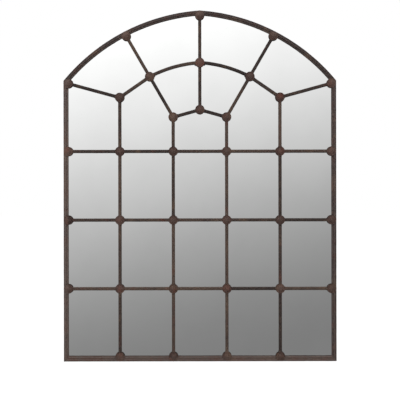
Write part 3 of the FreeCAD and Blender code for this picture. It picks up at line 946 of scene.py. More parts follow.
def solids_of(node: str) -> list[Solid]:
    """Find the boxes of the separate solids of a CAD node.

    Args:
        node: Name of the node.

    Returns:
        One box for each solid, from left to right and then upwards.
    """
    shape = bmesh.new()
    shape.from_mesh(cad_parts[node].data)
    bmesh.ops.remove_doubles(shape, verts=shape.verts, dist=0.01 * MM)
    unseen = set(shape.verts)
    solids = []
    while unseen:
        queue = [unseen.pop()]
        places = []
        while queue:
            vertex = queue.pop()
            places.append(vertex.co.copy())
            for edge in vertex.link_edges:
                other = edge.other_vert(vertex)
                if other in unseen:
                    unseen.remove(other)
                    queue.append(other)
        low, high = (
            Vector(pick(place[axis] for place in places) for axis in range(3))
            for pick in (min, max))
        solids.append(Solid(low, high))
    shape.free()
    return sorted(solids, key=lambda solid: (round(solid.middle.x, 3), solid.middle.z))


def crown_of(vertex: bpy.types.MeshVertex) -> float:
    """Tell how squarely a vertex faces the front, 0 to 1, which the iron finish paints as light on
    front faces and shade on faces turned away.
    """
    return max(0.0, -vertex.normal.y)


def level_with(y: float | None = None, z: float | None = None, above: float = -math.inf) -> Test:
    """Make a test of an element's corners, which all have to pass it.

    Args:
        y: Depth that they lie at, if it counts.
        z: Height that they lie at, if it counts.
        above: Height that they lie above.

    Returns:
        The test.
    """
    def passes(ends: Corners) -> bool:
        """Tell whether every corner lies there."""
        return all(
            (y is None or near(end.y, y)) and (z is None or near(end.z, z))
            and end.z > above - SLIVER for end in ends)

    return passes


@dataclass
class Grid:
    """Places that the pieces share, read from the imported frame."""

    arch_offset: float = 54.5 * MM
    half_width: float = field(init=False)
    shoulder: float = field(init=False)
    apex: float = field(init=False)
    front: float = field(init=False)
    rear: float = field(init=False)
    glass_front: float = field(init=False)
    board_back: float = field(init=False)
    arch_centre: Vector = field(init=False)
    arch_radius: float = field(init=False)
    boss_radius: float = field(init=False)
    joints: dict[str, list[Vector]] = field(init=False)

    def __post_init__(self) -> None:
        """Read the members' boxes and the bosses' middles."""
        stile_low, stile_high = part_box("right_stile")
        self.half_width = stile_high.x
        self.shoulder = stile_high.z
        self.front = stile_low.y
        self.rear = stile_high.y
        self.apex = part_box("arch_right")[1].z
        self.glass_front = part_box("mirror_glass")[0].y
        self.board_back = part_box("backing_board")[1].y
        rise = self.apex - self.shoulder
        spread = (self.half_width + self.arch_offset) ** 2 - self.arch_offset ** 2
        centre_z = (self.apex + self.shoulder) / 2 - spread / (2 * rise)
        self.arch_centre = Vector((-self.arch_offset, 0, centre_z))
        self.arch_radius = math.hypot(self.arch_offset, self.apex - centre_z)
        self.joints = {
            node: [solid.middle for solid in solids_of(node)]
            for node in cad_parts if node.startswith("bosses_")
        }
        low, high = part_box("bosses_bottom")
        self.boss_radius = (high.z - low.z) / 2

    def arch_z(self, inset: float, across: float) -> float:
        """Height of the arch's inset edge at a distance from the axis."""
        reach = abs(across) + self.arch_offset
        return self.arch_centre.z + math.sqrt((self.arch_radius - inset) ** 2 - reach ** 2)

    def from_edge(self, place: Vector) -> float:
        """Measure how far inside the frame's outer edge a place lies.

        Args:
            place: The place.

        Returns:
            The distance.
        """
        rim = min(self.half_width - abs(place.x), place.z)
        if place.z > self.shoulder - 2 * self.boss_radius:
            out = math.hypot(abs(place.x) + self.arch_offset, place.z - self.arch_centre.z)
            rim = min(rim, self.arch_radius - out)
        return rim

    def on_frame(self, node: str, joint: Vector) -> bool:
        """Tell whether a boss sits on the frame, not on a hub between bars."""
        return node in ("bosses_bottom", "bosses_arch") or (
            abs(joint.x) > self.half_width - 2 * self.boss_radius)


# ---- frame members -------------------------------------------------------------------------

@dataclass
class IronFrame:
    """Two stiles, a rail and two arch halves, stepped in section and welded at their mitres."""

    grid: Grid
    width: float = 20 * MM
    rail_width: float = 23 * MM
    flat: float = 12 * MM
    leg: float = 3 * MM
    step: float = 3 * MM
    edge_round: float = 1.2 * MM
    lip_round: float = 2.0 * MM
    rear_round: float = 0.6 * MM
    # Levels across a member's front, partly painted light: dark at the outer edge and at the step
    # as painted shade, and on the rail a bright line along the lip as a painted highlight, mixed
    # with dust on the set-back lip.
    plain: Stops = ((0.0, 0.0), (0.3, 0.65), (0.56, 0.7), (0.68, 0.75), (0.8, 0.65), (1.0, 0.35))
    rail_dust_and_painted_light: Stops = (
        (0.0, 0.0), (0.25, 0.6), (0.42, 0.7), (0.58, 0.1), (0.66, 1.9), (0.8, 1.9), (0.88, 0.0))
    overrun: float = 30 * MM
    oversweep: float = math.radians(3)
    width_cuts: tuple[float, ...] = (0.29, 0.42, 0.7, 0.8)
    leg_cuts: tuple[float, ...] = (0.25, 0.5, 0.75)
    long_cuts: int = 99
    fine_cuts: int = 2
    arch_steps: int = 260
    hammered: Relief = Relief("hammered", 0.5 * MM, 22 * MM)
    scaled: Relief = Relief("scaled", 0.35 * MM, 3.5 * MM, 4)
    ripples: Relief = Relief("weld_ripples", 0.3 * MM, 2.5 * MM)
    seam_inset: float = 3 * MM
    seam_foot: float = 3.4 * MM
    seam_stop: float = 1.5 * MM
    seam_sink: float = 0.1 * MM
    seam_rise: float = 0.5 * MM
    flat_seam: float = 2.2 * MM
    lip_seam: float = 2.0 * MM
    rear_pitch: float = 1.7 * MM
    rear_beads: int = 5
    rear_bead: Vector = field(default_factory=lambda: Vector((2.0, 1.3, 2.0)) * MM)
    rear_spread: Spread = (0.85, 1.1)
    seam_spread: Spread = (0.75, 1.1)
    seam_overlap: float = 0.9
    seam_wander: float = 0.25
    seed: int = 7
    # Tone of each member, partly painted light: the left stile and the bottom rail lighter, as
    # light from the left and from above; the right stile and the arch halves darker.
    tones: dict[str, float] = field(default_factory=lambda: {
        "left_stile": 0.9, "arch_left": -0.1, "right_stile": 0.1, "arch_right": -0.3,
        "bottom_rail": 1.0,
    })

    def section(self, name: str, stretch: float = 1.0) -> Workpiece:
        """Draw a member's section, with its outer edge at height 0 and the rest below it.

        Args:
            name: Name of the piece.
            stretch: How much wider than a stile's the two front strips are.

        Returns:
            The flat section, square to X.
        """
        front, rear, glass = self.grid.front, self.grid.rear, self.grid.glass_front
        lip = front + self.step
        width, flat = self.width * stretch, self.flat * stretch
        piece = Workpiece.side_plane(name, Vector((0, lip, -width)), Vector((0, glass, 0)))
        piece.cut(Vector((0, 0, -flat)), UP)
        piece.cut(Vector((0, 0, -self.leg)), UP)
        piece.select(Kind.EDGE, level_with(y=lip, above=-flat))
        piece.pull_edges(Vector((0, -self.step, 0)))
        piece.select(Kind.EDGE, level_with(y=glass, above=-self.leg))
        piece.pull_edges(Vector((0, rear - glass, 0)))
        rounds = (
            (self.edge_round, ((front, 0.0), (front, -flat))),
            (self.lip_round, ((lip, -width),)),
            (self.rear_round, ((rear, 0.0), (rear, -self.leg), (glass, -width))),
        )
        for share in self.width_cuts:
            piece.cut(Vector((0, 0, -width * share)), UP)
        for share in self.leg_cuts:
            piece.cut(Vector((0, glass + (rear - glass) * share, 0)), BACK)
        for radius, spots in rounds:
            tests = [level_with(depth, height) for depth, height in spots]
            piece.select(Kind.VERTEX, lambda ends: any(test(ends) for test in tests))
            piece.round_off(radius, affect="VERTICES")
        return piece

    def straight(self, name: str, spot: Vector, turn: float, run: Vector,
                 stretch: float = 1.0) -> Workpiece:
        """Pull a section out into a straight member that is longer than it needs to be.

        Args:
            name: Name of the piece.
            spot: Where the section's outer edge starts.
            turn: Angle that points the outer edge away from the glass.
            run: Where the member goes to, from the spot.
            stretch: Factor on the width of its front strips.

        Returns:
            The member, not yet mitred.
        """
        piece = self.section(name, stretch).placed(spot, turn)
        return piece.everything().pull(run)

    def divided(self, piece: Workpiece, axis: int) -> Workpiece:
        """Divide a straight member's length finely enough for its worn surface.

        Args:
            piece: The member.
            axis: Number of the axis that it runs along.

        Returns:
            The same member.
        """
        reach = self.grid.half_width
        piece.along(axis, reach).divide(self.long_cuts)
        piece.along(axis, reach / self.long_cuts).divide(self.fine_cuts)
        return piece.face_outwards()

    def rail_mitre(self, side: int) -> tuple[Vector, Vector]:
        """Return a point and the normal, upwards and outwards, of the mitre at a lower corner."""
        across = Vector((side * self.rail_width, 0, self.width)).normalized()
        return Vector((side * self.grid.half_width, 0, 0)), across

    def arch_mitre(self) -> tuple[Vector, Vector]:
        """Lay out the mitre at the right shoulder.

        Returns:
            A point of it and its upward normal.
        """
        grid = self.grid
        drop = grid.arch_z(self.width, grid.half_width - self.width) - grid.shoulder
        across = Vector((drop, 0, self.width)).normalized()
        return Vector((grid.half_width, 0, grid.shoulder)), across

    def stile(self) -> Workpiece:
        """Make the right stile, mitred below and above.

        Returns:
            The stile.
        """
        grid = self.grid
        piece = self.straight(
            "stile", Vector((grid.half_width, 0, -self.overrun)), QUARTER,
            UP * (grid.shoulder + 2 * self.overrun))
        piece.cut(*self.rail_mitre(1), Keep.AHEAD)
        piece.cut(*self.arch_mitre(), Keep.BEHIND)
        return self.divided(piece, 2)

    def rail(self) -> Workpiece:
        """Make the bottom rail, mitred at both ends.

        Returns:
            The rail.
        """
        reach = self.grid.half_width + self.overrun
        piece = self.straight(
            "rail", RIGHT * reach, math.pi, RIGHT * (-2 * reach), self.rail_width / self.width)
        for side in (1, -1):
            piece.cut(*self.rail_mitre(side), Keep.BEHIND)
        return self.divided(piece, 0)

    def arch_half(self) -> Workpiece:
        """Make the right half of the arch, from the apex to the shoulder mitre.

        Returns:
            The half arch.
        """
        grid = self.grid
        piece = self.section("arch").placed(grid.arch_centre + UP * grid.arch_radius)
        sweep = math.asin((grid.half_width + grid.arch_offset) / grid.arch_radius)
        piece.everything().spin(grid.arch_centre, sweep + self.oversweep, self.arch_steps)
        piece.cut(Vector(), RIGHT, Keep.AHEAD)
        piece.cut(*self.arch_mitre(), Keep.AHEAD)
        return piece.face_outwards()

    def seam(self, start: Vector, finish: Vector, breadth: float,
             draw: random.Random) -> list[Workpiece]:
        """Lay overlapping flattened beads along a line.

        Args:
            start: One end of the line.
            finish: The other end.
            breadth: Half the width of the seam.
            draw: Source of the uneven sizes.

        Returns:
            The beads.
        """
        run = finish - start
        count = max(2, round(run.length / (breadth * self.seam_overlap)))
        beads = []
        for number in range(count + 1):
            size = Vector((breadth, self.seam_rise, breadth)) * draw.uniform(*self.seam_spread)
            wander = Vector((draw.uniform(-1, 1), 0, draw.uniform(-1, 1)))
            spot = start + run * number / count + wander * breadth * self.seam_wander
            beads.append(Workpiece.bead(spot, size))
        return beads

    def corner_seams(self) -> Workpiece:
        """Lay the welds of the mitres, ground nearly flush in front and left full behind.

        Returns:
            The welds.
        """
        grid = self.grid
        draw = random.Random(self.seed)
        beads: list[Workpiece] = []
        insets = (self.seam_inset, self.flat, self.width - self.seam_stop)
        reaches = [grid.half_width - inset for inset in insets]
        lows = [
            self.seam_foot, self.flat * self.rail_width / self.width,
            self.rail_width - self.seam_stop]
        highs = [grid.arch_z(inset, reach) for inset, reach in zip(insets, reaches)]
        front = BACK * (grid.front + self.seam_sink)
        sunk = front + BACK * self.step
        for side in (1, -1):
            for heights in (lows, highs):
                outer, middle, lip = (
                    Vector((side * reach, 0, height)) for reach, height in zip(reaches, heights))
                beads += self.seam(outer + front, middle + front, self.flat_seam, draw)
                beads += self.seam(middle + sunk, lip + sunk, self.lip_seam, draw)
        inner = grid.half_width - self.leg
        for side in (1, -1):
            for height in (self.leg, grid.arch_z(self.leg, inner)):
                start = Vector((side * inner, grid.board_back + self.seam_stop, height))
                beads += weld_row(
                    start, BACK * self.rear_pitch, self.rear_beads, self.rear_bead, draw,
                    self.rear_spread)
        return Workpiece.joined(beads, "mitre_welds")

    def dust_and_painted_light(self, vertex: bpy.types.MeshVertex, width: float, stops: Stops) -> float:
        """Tell how light a spot is painted from where it lies across its member: painted light and
        shade, with dust on the set-back lip.

        Args:
            vertex: The spot.
            width: Width of the member's front.
            stops: Level at each share of the width, from the outer edge inwards.

        Returns:
            The level of painted light, 0 where the surface turns away from the front.
        """
        share = self.grid.from_edge(vertex.co) / width
        level = stops[-1][1]
        for (start, first), (end, second) in zip(stops, stops[1:]):
            if share < end:
                level = first + (second - first) * max(0.0, share - start) / (end - start)
                break
        return crown_of(vertex) * level

    def build(self) -> None:
        """Make the five members and their welds, wear them and put them in the frame's place."""
        stile = self.stile()
        arch = self.arch_half()
        members = {
            "left_stile": stile.copy("left").placed(size=FLIPPED),
            "arch_left": arch.copy("left").placed(size=FLIPPED),
            "right_stile": stile,
            "arch_right": arch,
            "bottom_rail": self.rail(),
        }
        for node, piece in members.items():
            # Each member's tone, partly painted light from the left and from above.
            tone = self.tones[node]
            on_rail = node == "bottom_rail"
            width = self.rail_width if on_rail else self.width
            stops = self.rail_dust_and_painted_light if on_rail else self.plain
            piece.item.name = f"iron_{node}"
            piece.worn(self.hammered, self.scaled)
            piece.mark("tone", lambda vertex: tone)
            # Painted light and shade across each member, with dust on its lip.
            piece.mark("crown", lambda vertex: self.dust_and_painted_light(vertex, width, stops))
            piece.smooth(ROLLED_ANGLE).deliver(FRAME_IRON, node)
        # Painted light: the welds lighter where they face the front, darker where they turn away.
        welds = self.corner_seams().worn(self.ripples).mark("crown", crown_of)
        welds.smooth(WELD_ANGLE).deliver(WELD_IRON)


# ---- glazing bars --------------------------------------------------------------------------

@dataclass
class GlazingBars:
    """Half-round bars between the bosses, coped round the hubs."""

    grid: Grid
    width: float = 12.5 * MM
    wear: float = 1.6 * MM
    round_over: float = 4 * MM
    round_steps: int = 6
    rear_round: float = 0.5 * MM
    hub_radius: float = 11.2 * MM
    hub_corners: int = 40
    hub_start: float = 2 * MM
    hub_depth: float = 14 * MM
    blank_length: float = 0.25
    blank_cuts: int = 90
    arc_radius: float = 505 * MM
    arc_steps: int = 70
    arc_inset: float = 9.2 * MM
    blob: Workpiece = field(init=False)
    fillet: Vector = field(default_factory=lambda: Vector((4.6, 2.4, 7.6)) * MM)
    fillet_gap: float = 0.2 * MM
    fillet_sink: float = 0.9 * MM
    fillet_spread: Spread = (0.85, 1.1)
    rub_and_light: float = 0.5
    tones: Spread = (-0.45, 0.8)
    fan_shading: float = -0.5
    seed: int = 23
    hammered: Relief = Relief("bar_hammered", 0.7 * MM, 16 * MM)
    scaled: Relief = Relief("bar_scaled", 0.35 * MM, 3 * MM, 4)

    def blank(self) -> Workpiece:
        """Make a straight bar along X, rounded over in front and divided along its length.

        Returns:
            The bar, its edges ready for the length of any bar.
        """
        front, back = self.grid.front, self.grid.glass_front
        middle = Vector((0, (front + back) / 2, 0))
        size = Vector((self.blank_length, back - front, self.width + self.wear))
        piece = Workpiece.cube("bar_blank", middle, size)
        least = self.blank_length / 2
        rounds = ((front, self.round_over, self.round_steps), (back, self.rear_round, 2))
        for depth, radius, steps in rounds:
            piece.select(Kind.EDGE, lambda ends: (
                (ends[0] - ends[1]).length > least and near(ends[0].y, depth)))
            piece.round_off(radius, steps)
        return piece.along(0, least).divide(self.blank_cuts)

    def straight(self, blank: Workpiece, start: Vector, finish: Vector, solid: Solid) -> Workpiece:
        """Copy the blank to a bar between two joints, as long as the CAD solid.

        Args:
            blank: The bar that is copied.
            start: The joint at the lower or left end.
            finish: The other joint.
            solid: Box of the bar's CAD solid.

        Returns:
            The bar in its place.
        """
        run = finish - start
        run.y = 0
        along = 0 if abs(run.x) > abs(run.z) else 2
        across = 2 - along
        spill = self.width / 2 * abs(run[across]) / run.length
        first, last = sorted(
            (edge[along] + side * spill - start[along]) / run[along] * run.length
            for edge, side in ((solid.low, 1), (solid.high, -1)))
        middle = start + run.normalized() * (first + last) / 2
        middle.y = 0
        size = Vector(((last - first) / self.blank_length, 1, 1))
        return blank.copy("bar").placed(middle, -math.atan2(run.z, run.x), size)

    def curved(self, start: Vector, finish: Vector) -> Workpiece:
        """Sweep a bar along the fan's arc, from the apex side down to the shoulder.

        Args:
            start: The upper joint.
            finish: The lower joint, to its right.

        Returns:
            The bar in its place.
        """
        run = finish - start
        run.y = 0
        half = run.length / 2
        depth = math.sqrt(self.arc_radius ** 2 - half ** 2)
        below = Vector((run.z, 0, -run.x)).normalized()
        centre = start + run / 2 + below * depth
        centre.y = 0
        trim = self.arc_inset / self.arc_radius
        begin = math.atan2(start.x - centre.x, start.z - centre.z) + trim
        sweep = 2 * math.asin(half / self.arc_radius) - 2 * trim
        front, back = self.grid.front, self.grid.glass_front
        edge = (self.width + self.wear) / 2
        piece = Workpiece.side_plane("bar", Vector((0, front, -edge)), Vector((0, back, edge)))
        piece.select(Kind.VERTEX, level_with(y=front))
        piece.round_off(self.round_over, self.round_steps, "VERTICES")
        piece.placed(UP * self.arc_radius).everything()
        piece.spin(Vector(), sweep, self.arc_steps)
        return piece.placed(centre, begin).face_outwards()

    def hubs(self) -> Workpiece:
        """Make cutters at all joints inside the frame, as wide as a hub and its weld gap.

        Returns:
            The cutters, as one piece.
        """
        grid = self.grid
        cutters = []
        for node, joints in grid.joints.items():
            for joint in joints:
                if grid.on_frame(node, joint):
                    continue
                spot = Vector((joint.x, grid.front - self.hub_start, joint.z))
                cutter = Workpiece.disc("cutter", spot, self.hub_radius, self.hub_corners)
                cutter.everything().pull(BACK * self.hub_depth)
                cutters.append(cutter.face_outwards())
        return Workpiece.joined(cutters, "hub_cutters")

    def welds(self, start: Vector, finish: Vector, draw: random.Random) -> list[Workpiece]:
        """Lay a fillet of weld where each end of a bar meets its boss.

        Args:
            start: One joint.
            finish: The other joint.
            draw: Source of the uneven sizes.

        Returns:
            The two fillets.
        """
        run = finish - start
        run.y = 0
        along = run.normalized()
        turn = -math.atan2(run.z, run.x)
        fillets = []
        for joint, way in ((start, along), (finish, -along)):
            spot = joint + way * (self.grid.boss_radius + self.fillet_gap)
            spot.y = self.grid.front + self.fillet_sink
            size = self.fillet * draw.uniform(*self.fillet_spread)
            fillets.append(self.blob.copy("fillet").placed(spot, turn, size))
        return fillets

    def runs(self) -> dict[str, list[tuple[Vector, Vector]]]:
        """List the joints that each node's straight bars lie between.

        Returns:
            The pairs of joints by node, in the order of the node's solids.
        """
        joints = self.grid.joints
        rows = {row: joints[f"bosses_row_{row}"] for row in ("lower", "middle", "upper")}
        left_foot, crown, right_foot = joints["bosses_fan_inner"]
        left_side, left_shoulder, top, right_shoulder, right_side = joints["bosses_fan_outer"]
        left_corner, left_arch, apex, right_arch, right_corner = joints["bosses_arch"]
        chains = {f"row_bars_{row}": places for row, places in rows.items()}
        columns = ("outer_left", "inner_left", "inner_right", "outer_right")
        heads = (left_side, left_foot, right_foot, right_side)
        feet = joints["bosses_bottom"]
        for number, (name, foot, head) in enumerate(zip(columns, feet, heads), 1):
            between = [places[number] for places in rows.values()]
            chains[f"column_bars_{name}"] = [foot, *between, head]
        twins = {
            "low_fan_bar": ((left_foot, crown), (right_foot, crown)),
            "fan_side_bar": ((left_side, left_shoulder), (right_side, right_shoulder)),
            "inner_spoke": ((left_foot, left_shoulder), (right_foot, right_shoulder)),
            "outer_spoke": ((left_shoulder, left_arch), (right_shoulder, right_arch)),
            "corner_spoke": ((left_side, left_corner), (right_side, right_corner)),
        }
        for name, (left, right) in twins.items():
            chains[f"{name}_left"] = left
            chains[f"{name}_right"] = right
        chains["top_spoke_lower"] = (crown, top)
        chains["top_spoke_upper"] = (top, apex)
        return {node: list(zip(chain, chain[1:])) for node, chain in chains.items()}

    def build(self) -> None:
        """Make every bar, node by node, cope it, wear it and put it in its place."""
        draw = random.Random(self.seed)
        blank = self.blank()
        self.blob = Workpiece.bead(Vector(), ONE, "blob")
        cutters = self.hubs()
        lines = self.runs()
        groups = {
            node: [
                self.straight(blank, start, finish, solid)
                for (start, finish), solid in zip(runs, solids_of(node))
            ]
            for node, runs in lines.items()
        }
        _, left_shoulder, top, shoulder, _ = self.grid.joints["bosses_fan_outer"]
        arc = self.curved(top, shoulder)
        groups["fan_arc_bar_left"] = [arc.copy("left").placed(size=FLIPPED)]
        groups["fan_arc_bar_right"] = [arc]
        lines["fan_arc_bar_left"] = [(left_shoulder, top)]
        lines["fan_arc_bar_right"] = [(top, shoulder)]
        for node, bars in groups.items():
            tones = [draw.uniform(*self.tones) for _ in bars]
            if "spoke" in node or "fan" in node:
                tones = [tone + self.fan_shading for tone in tones]
            for piece, tone in zip(bars, tones):
                piece.mark("tone", lambda vertex: tone)
            whole = Workpiece.joined(bars, f"iron_{node}")
            whole.finish_with(
                "BOOLEAN", operation="DIFFERENCE", object=cutters.item, solver="EXACT")
            fillets = [
                piece.mark("tone", lambda vertex: tone)
                for (start, finish), tone in zip(lines[node], tones)
                for piece in self.welds(start, finish, draw)
            ]
            whole = Workpiece.joined([whole, *fillets], f"iron_{node}")
            whole.worn(self.hammered, self.scaled)
            # Painted highlight mixed with wear: bars lighter where they face the front, darker on
            # their sides.
            whole.mark("crown", lambda vertex: self.rub_and_light * crown_of(vertex))
            whole.smooth(ROLLED_ANGLE).deliver(BAR_IRON, node)
        for helper in (cutters, blank, self.blob):
            helper.discard()


# ---- cast bosses ---------------------------------------------------------------------------

@dataclass
class CastBosses:
    """Round cast bosses: a rolled rim, a shallow groove and a low dome, on a hub or the frame."""

    grid: Grid
    height: float = 6 * MM
    wall: float = 1.6 * MM
    roll: tuple[float, ...] = (0.7 * MM, 0.25 * MM, -0.05 * MM, -0.5 * MM)
    rim_width: float = 3.2 * MM
    groove_width: float = 1.6 * MM
    hub_radius: float = 11 * MM
    corners: int = 56
    dome_steps: int = 7
    crown_step: float = 0.6
    dome_painted_light: float = 1.05
    frame_reach: float = 22 * MM
    frame_fade: float = 7 * MM
    frame_painted_light: float = 0.95
    frame_shading: float = 0.35
    plain_tones: Spread = (-0.1, 0.4)
    seed: int = 31
    redness: dict[str, tuple[float, ...]] = field(default_factory=lambda: {
        "bosses_fan_outer": (-0.1, 0.1, 0.9, 0.0, -0.1),
        "bosses_arch": (0.2, 0.1, 0.2, 0.0, 0.4),
        "bosses_bottom": (0.1, 0.0, 0.1, -0.1),
        "bosses_row_middle": (-0.6, 0.4, 0.1, 0.3, 0.0, 0.0),
    })
    blows: Relief = Relief("boss_blows", 0.8 * MM, 13 * MM, 2)
    pits: Relief = Relief("boss_pits", 0.5 * MM, 2.6 * MM, 4)

    def blank(self, on_hub: bool) -> Workpiece:
        """Model one boss at the origin, its back on the frame's front plane.

        Args:
            on_hub: Whether it has the hub that the bars meet.

        Returns:
            The boss.
        """
        grid = self.grid
        radius = grid.boss_radius
        piece = Workpiece.disc("boss_blank", Vector((0, grid.front, 0)), radius, self.corners)
        piece.everything().pull(-BACK * self.wall)
        # rolled rim: up, over and down into the groove
        for rise in self.roll:
            piece.inset(self.rim_width / len(self.roll), rise)
        piece.inset(self.groove_width)
        inner = radius - self.rim_width - self.groove_width
        rise = self.height - self.wall - sum(self.roll)
        ball = (inner ** 2 + rise ** 2) / (2 * rise)
        steps = self.dome_steps + self.crown_step
        reached = 0.0
        for number in range(1, self.dome_steps + 1):
            out = inner * (1 - number / steps)
            level = math.sqrt(ball ** 2 - out ** 2) - (ball - rise)
            piece.inset(inner / steps, level - reached)
            reached = level
        bpy.ops.mesh.poke()
        if on_hub:
            piece.select(Kind.FACE, level_with(y=grid.front))
            piece.inset(radius - self.hub_radius)
            piece.pull(BACK * (grid.glass_front - grid.front))
        return piece.face_outwards()

    def centred(self, spot: Vector) -> Callable[[bpy.types.MeshVertex], float]:
        """Paint a boss light in its middle and dark at its rim, as painted light and shade, but
        match the frame where it lies on it.

        Args:
            spot: Middle of the boss.

        Returns:
            What gives the level of a vertex.
        """
        grid = self.grid
        # Painted light: bosses on the frame take the frame's level, lighter on the left and darker
        # on the right.
        beside = self.frame_painted_light - self.frame_shading * spot.x / grid.half_width

        def level(vertex: bpy.types.MeshVertex) -> float:
            """Give the level of one vertex.

            Args:
                vertex: The vertex.

            Returns:
                Its level.
            """
            out = math.hypot(vertex.co.x - spot.x, vertex.co.z - spot.z) / grid.boss_radius
            over = (self.frame_reach - grid.from_edge(vertex.co)) / self.frame_fade
            over = min(1.0, max(0.0, over))
            return (self.dome_painted_light - min(1.0, out)) * (1 - over) + beside * over

        return level

    def build(self) -> None:
        """Copy the boss to each joint, each turned, tilted in tone and worn in its own way."""
        draw = random.Random(self.seed)
        blanks = {on_hub: self.blank(on_hub) for on_hub in (True, False)}
        for node, joints in self.grid.joints.items():
            given = self.redness.get(node)
            bosses = []
            for number, joint in enumerate(joints):
                spot = Vector((joint.x, 0, joint.z))
                blank = blanks[not self.grid.on_frame(node, joint)]
                boss = blank.copy("boss").placed(spot, draw.uniform(0, math.tau))
                tone = given[number] if given else draw.uniform(*self.plain_tones)
                boss.mark("tone", lambda vertex: tone)
                # Painted light and shade: each boss lighter in its middle, darker at its rim.
                bosses.append(boss.mark("crown", self.centred(spot)))
            whole = Workpiece.joined(bosses, f"cast_{node}")
            whole.worn(self.blows, self.pits).smooth(CAST_ANGLE).deliver(BOSS_IRON, node)
        for blank in blanks.values():
            blank.discard()


# ---- tabs and hangers ----------------------------------------------------------------------

@dataclass
class RetainingTabs:
    """Bent strips welded to the rear legs, their feet pressed on the board."""

    grid: Grid
    width: float = 20 * MM
    foot: float = 14 * MM
    rise: float = 8 * MM
    thickness: float = 1.5 * MM
    gap: float = 0.2 * MM
    outer_bend: float = 1.5 * MM
    inner_bend: float = 0.72 * MM
    tip_round: float = 2.5 * MM
    scale: Relief = Relief("tab_scale", 0.15 * MM, 5 * MM)
    ripples: Relief = Relief("tab_ripples", 0.25 * MM, 2 * MM)
    bead_size: Vector = field(default_factory=lambda: Vector((1.9, 1.1, 1.9)) * MM)
    bead_pitch: float = 2.4 * MM
    bead_sink: float = 0.6 * MM
    bead_count: int = 7
    seed: int = 41

    def blank(self) -> Workpiece:
        """Model one tab at the origin, its riser against a wall above it.

        Returns:
            The tab.
        """
        board = self.grid.board_back
        reach = self.foot - self.gap
        middle = Vector((0, board + self.thickness / 2, -self.gap - reach / 2))
        piece = Workpiece.cube("tab_blank", middle, Vector((self.width, self.thickness, reach)))
        wall = -self.gap
        inner = wall - self.thickness
        top = board + self.thickness
        piece.cut(Vector((0, 0, inner)), UP)
        piece.select(Kind.FACE, level_with(y=top, above=inner))
        piece.pull(BACK * (self.rise - self.thickness))
        piece.select(Kind.EDGE, level_with(board, wall)).round_off(self.outer_bend, 5)
        piece.select(Kind.EDGE, level_with(top, inner)).round_off(self.inner_bend, 4)
        piece.select(Kind.EDGE, lambda ends: (
            level_with(z=-self.foot)(ends) and near(ends[0].x, ends[1].x)))
        piece.round_off(self.tip_round, 4)
        for share in (-0.25, 0.0, 0.25):
            piece.cut(RIGHT * share * self.width, RIGHT)
        return piece.face_outwards()

    def outward(self, middle: Vector) -> Vector:
        """Find the way from a tab to the leg that it is welded to.

        Args:
            middle: Middle of the tab.

        Returns:
            The direction, of length 1.
        """
        grid = self.grid
        side = math.copysign(1, middle.x)
        if middle.z < 2 * self.foot:
            return Vector((0, 0, -1))
        beside = abs(middle.x) > grid.half_width - 2 * self.foot
        if beside and middle.z < grid.shoulder - self.width:
            return RIGHT * side
        across = middle.x + side * grid.arch_offset
        return Vector((across, 0, middle.z - grid.arch_centre.z)).normalized()

    def build(self) -> None:
        """Copy the tab to each place and weld it to the leg."""
        draw = random.Random(self.seed)
        blank = self.blank()
        tabs, beads = [], []
        for solid in solids_of("retaining_tabs"):
            outward = self.outward(solid.middle)
            origin = solid.middle + outward * (self.gap + self.foot) / 2
            origin.y = 0
            tabs.append(blank.copy("tab").placed(origin, math.atan2(outward.x, outward.z)))
            step = Vector((outward.z, 0, -outward.x)) * self.bead_pitch
            start = origin - step * (self.bead_count - 1) / 2 - outward * self.bead_sink
            start.y = self.grid.board_back + self.rise
            beads += weld_row(start, step, self.bead_count, self.bead_size, draw)
        blank.discard()
        whole = Workpiece.joined(tabs, "bent_retaining_tabs").worn(self.scale)
        whole.smooth(SHEET_ANGLE).deliver(TAB_STEEL, "retaining_tabs")
        welds = Workpiece.joined(beads, "tab_welds").worn(self.ripples)
        welds.smooth(WELD_ANGLE).deliver(WELD_IRON)


@dataclass
class Hangers:
    """Plates, straps, rivets and rings at the back of the stiles."""

    grid: Grid
    edge: float = 0.4 * MM
    shares: tuple[float, ...] = (0.14, 0.5, 0.86)
    ripples: Relief = Relief("hanger_ripples", 0.25 * MM, 2 * MM)
    bead_size: Vector = field(default_factory=lambda: Vector((2.0, 1.3, 1.8)) * MM)
    bead_pitch: float = 2.1 * MM
    bead_count: int = 8
    seed: int = 53

    def build(self) -> None:
        """Weld the plates to the legs and plate the steel."""
        draw = random.Random(self.seed)
        beads: list[Workpiece] = []
        run = self.bead_pitch * (self.bead_count - 1)
        for side, name in ((1, "right"), (-1, "left")):
            low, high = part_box(f"hanger_plate_{name}")
            across = (high.x if side > 0 else low.x) - side * self.edge
            for share in self.shares:
                middle = low.z + (high.z - low.z) * share
                start = Vector((across, high.y, middle - run / 2))
                beads += weld_row(
                    start, UP * self.bead_pitch, self.bead_count, self.bead_size, draw)
        welds = Workpiece.joined(beads, "hanger_welds").worn(self.ripples)
        welds.smooth(WELD_ANGLE).deliver(WELD_IRON)
        pairs = ("hanger_plate", "ring_strap", "hanging_ring")
        for node in (*(f"{pair}_{side}" for pair in pairs for side in ("right", "left")),
                     "strap_rivets"):
            PLATED.coat(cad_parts[node])
            LOG.info("%s: plated", node)


@dataclass
class Sheets:
    """The mirror and the board behind it."""

    def build(self) -> None:
        """Finish both sheets where they stand."""
        GLASS.coat(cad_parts["mirror_glass"])
        BOARD.coat(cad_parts["backing_board"])
        LOG.info("mirror_glass, backing_board: finished")


# ---- studio --------------------------------------------------------------------------------

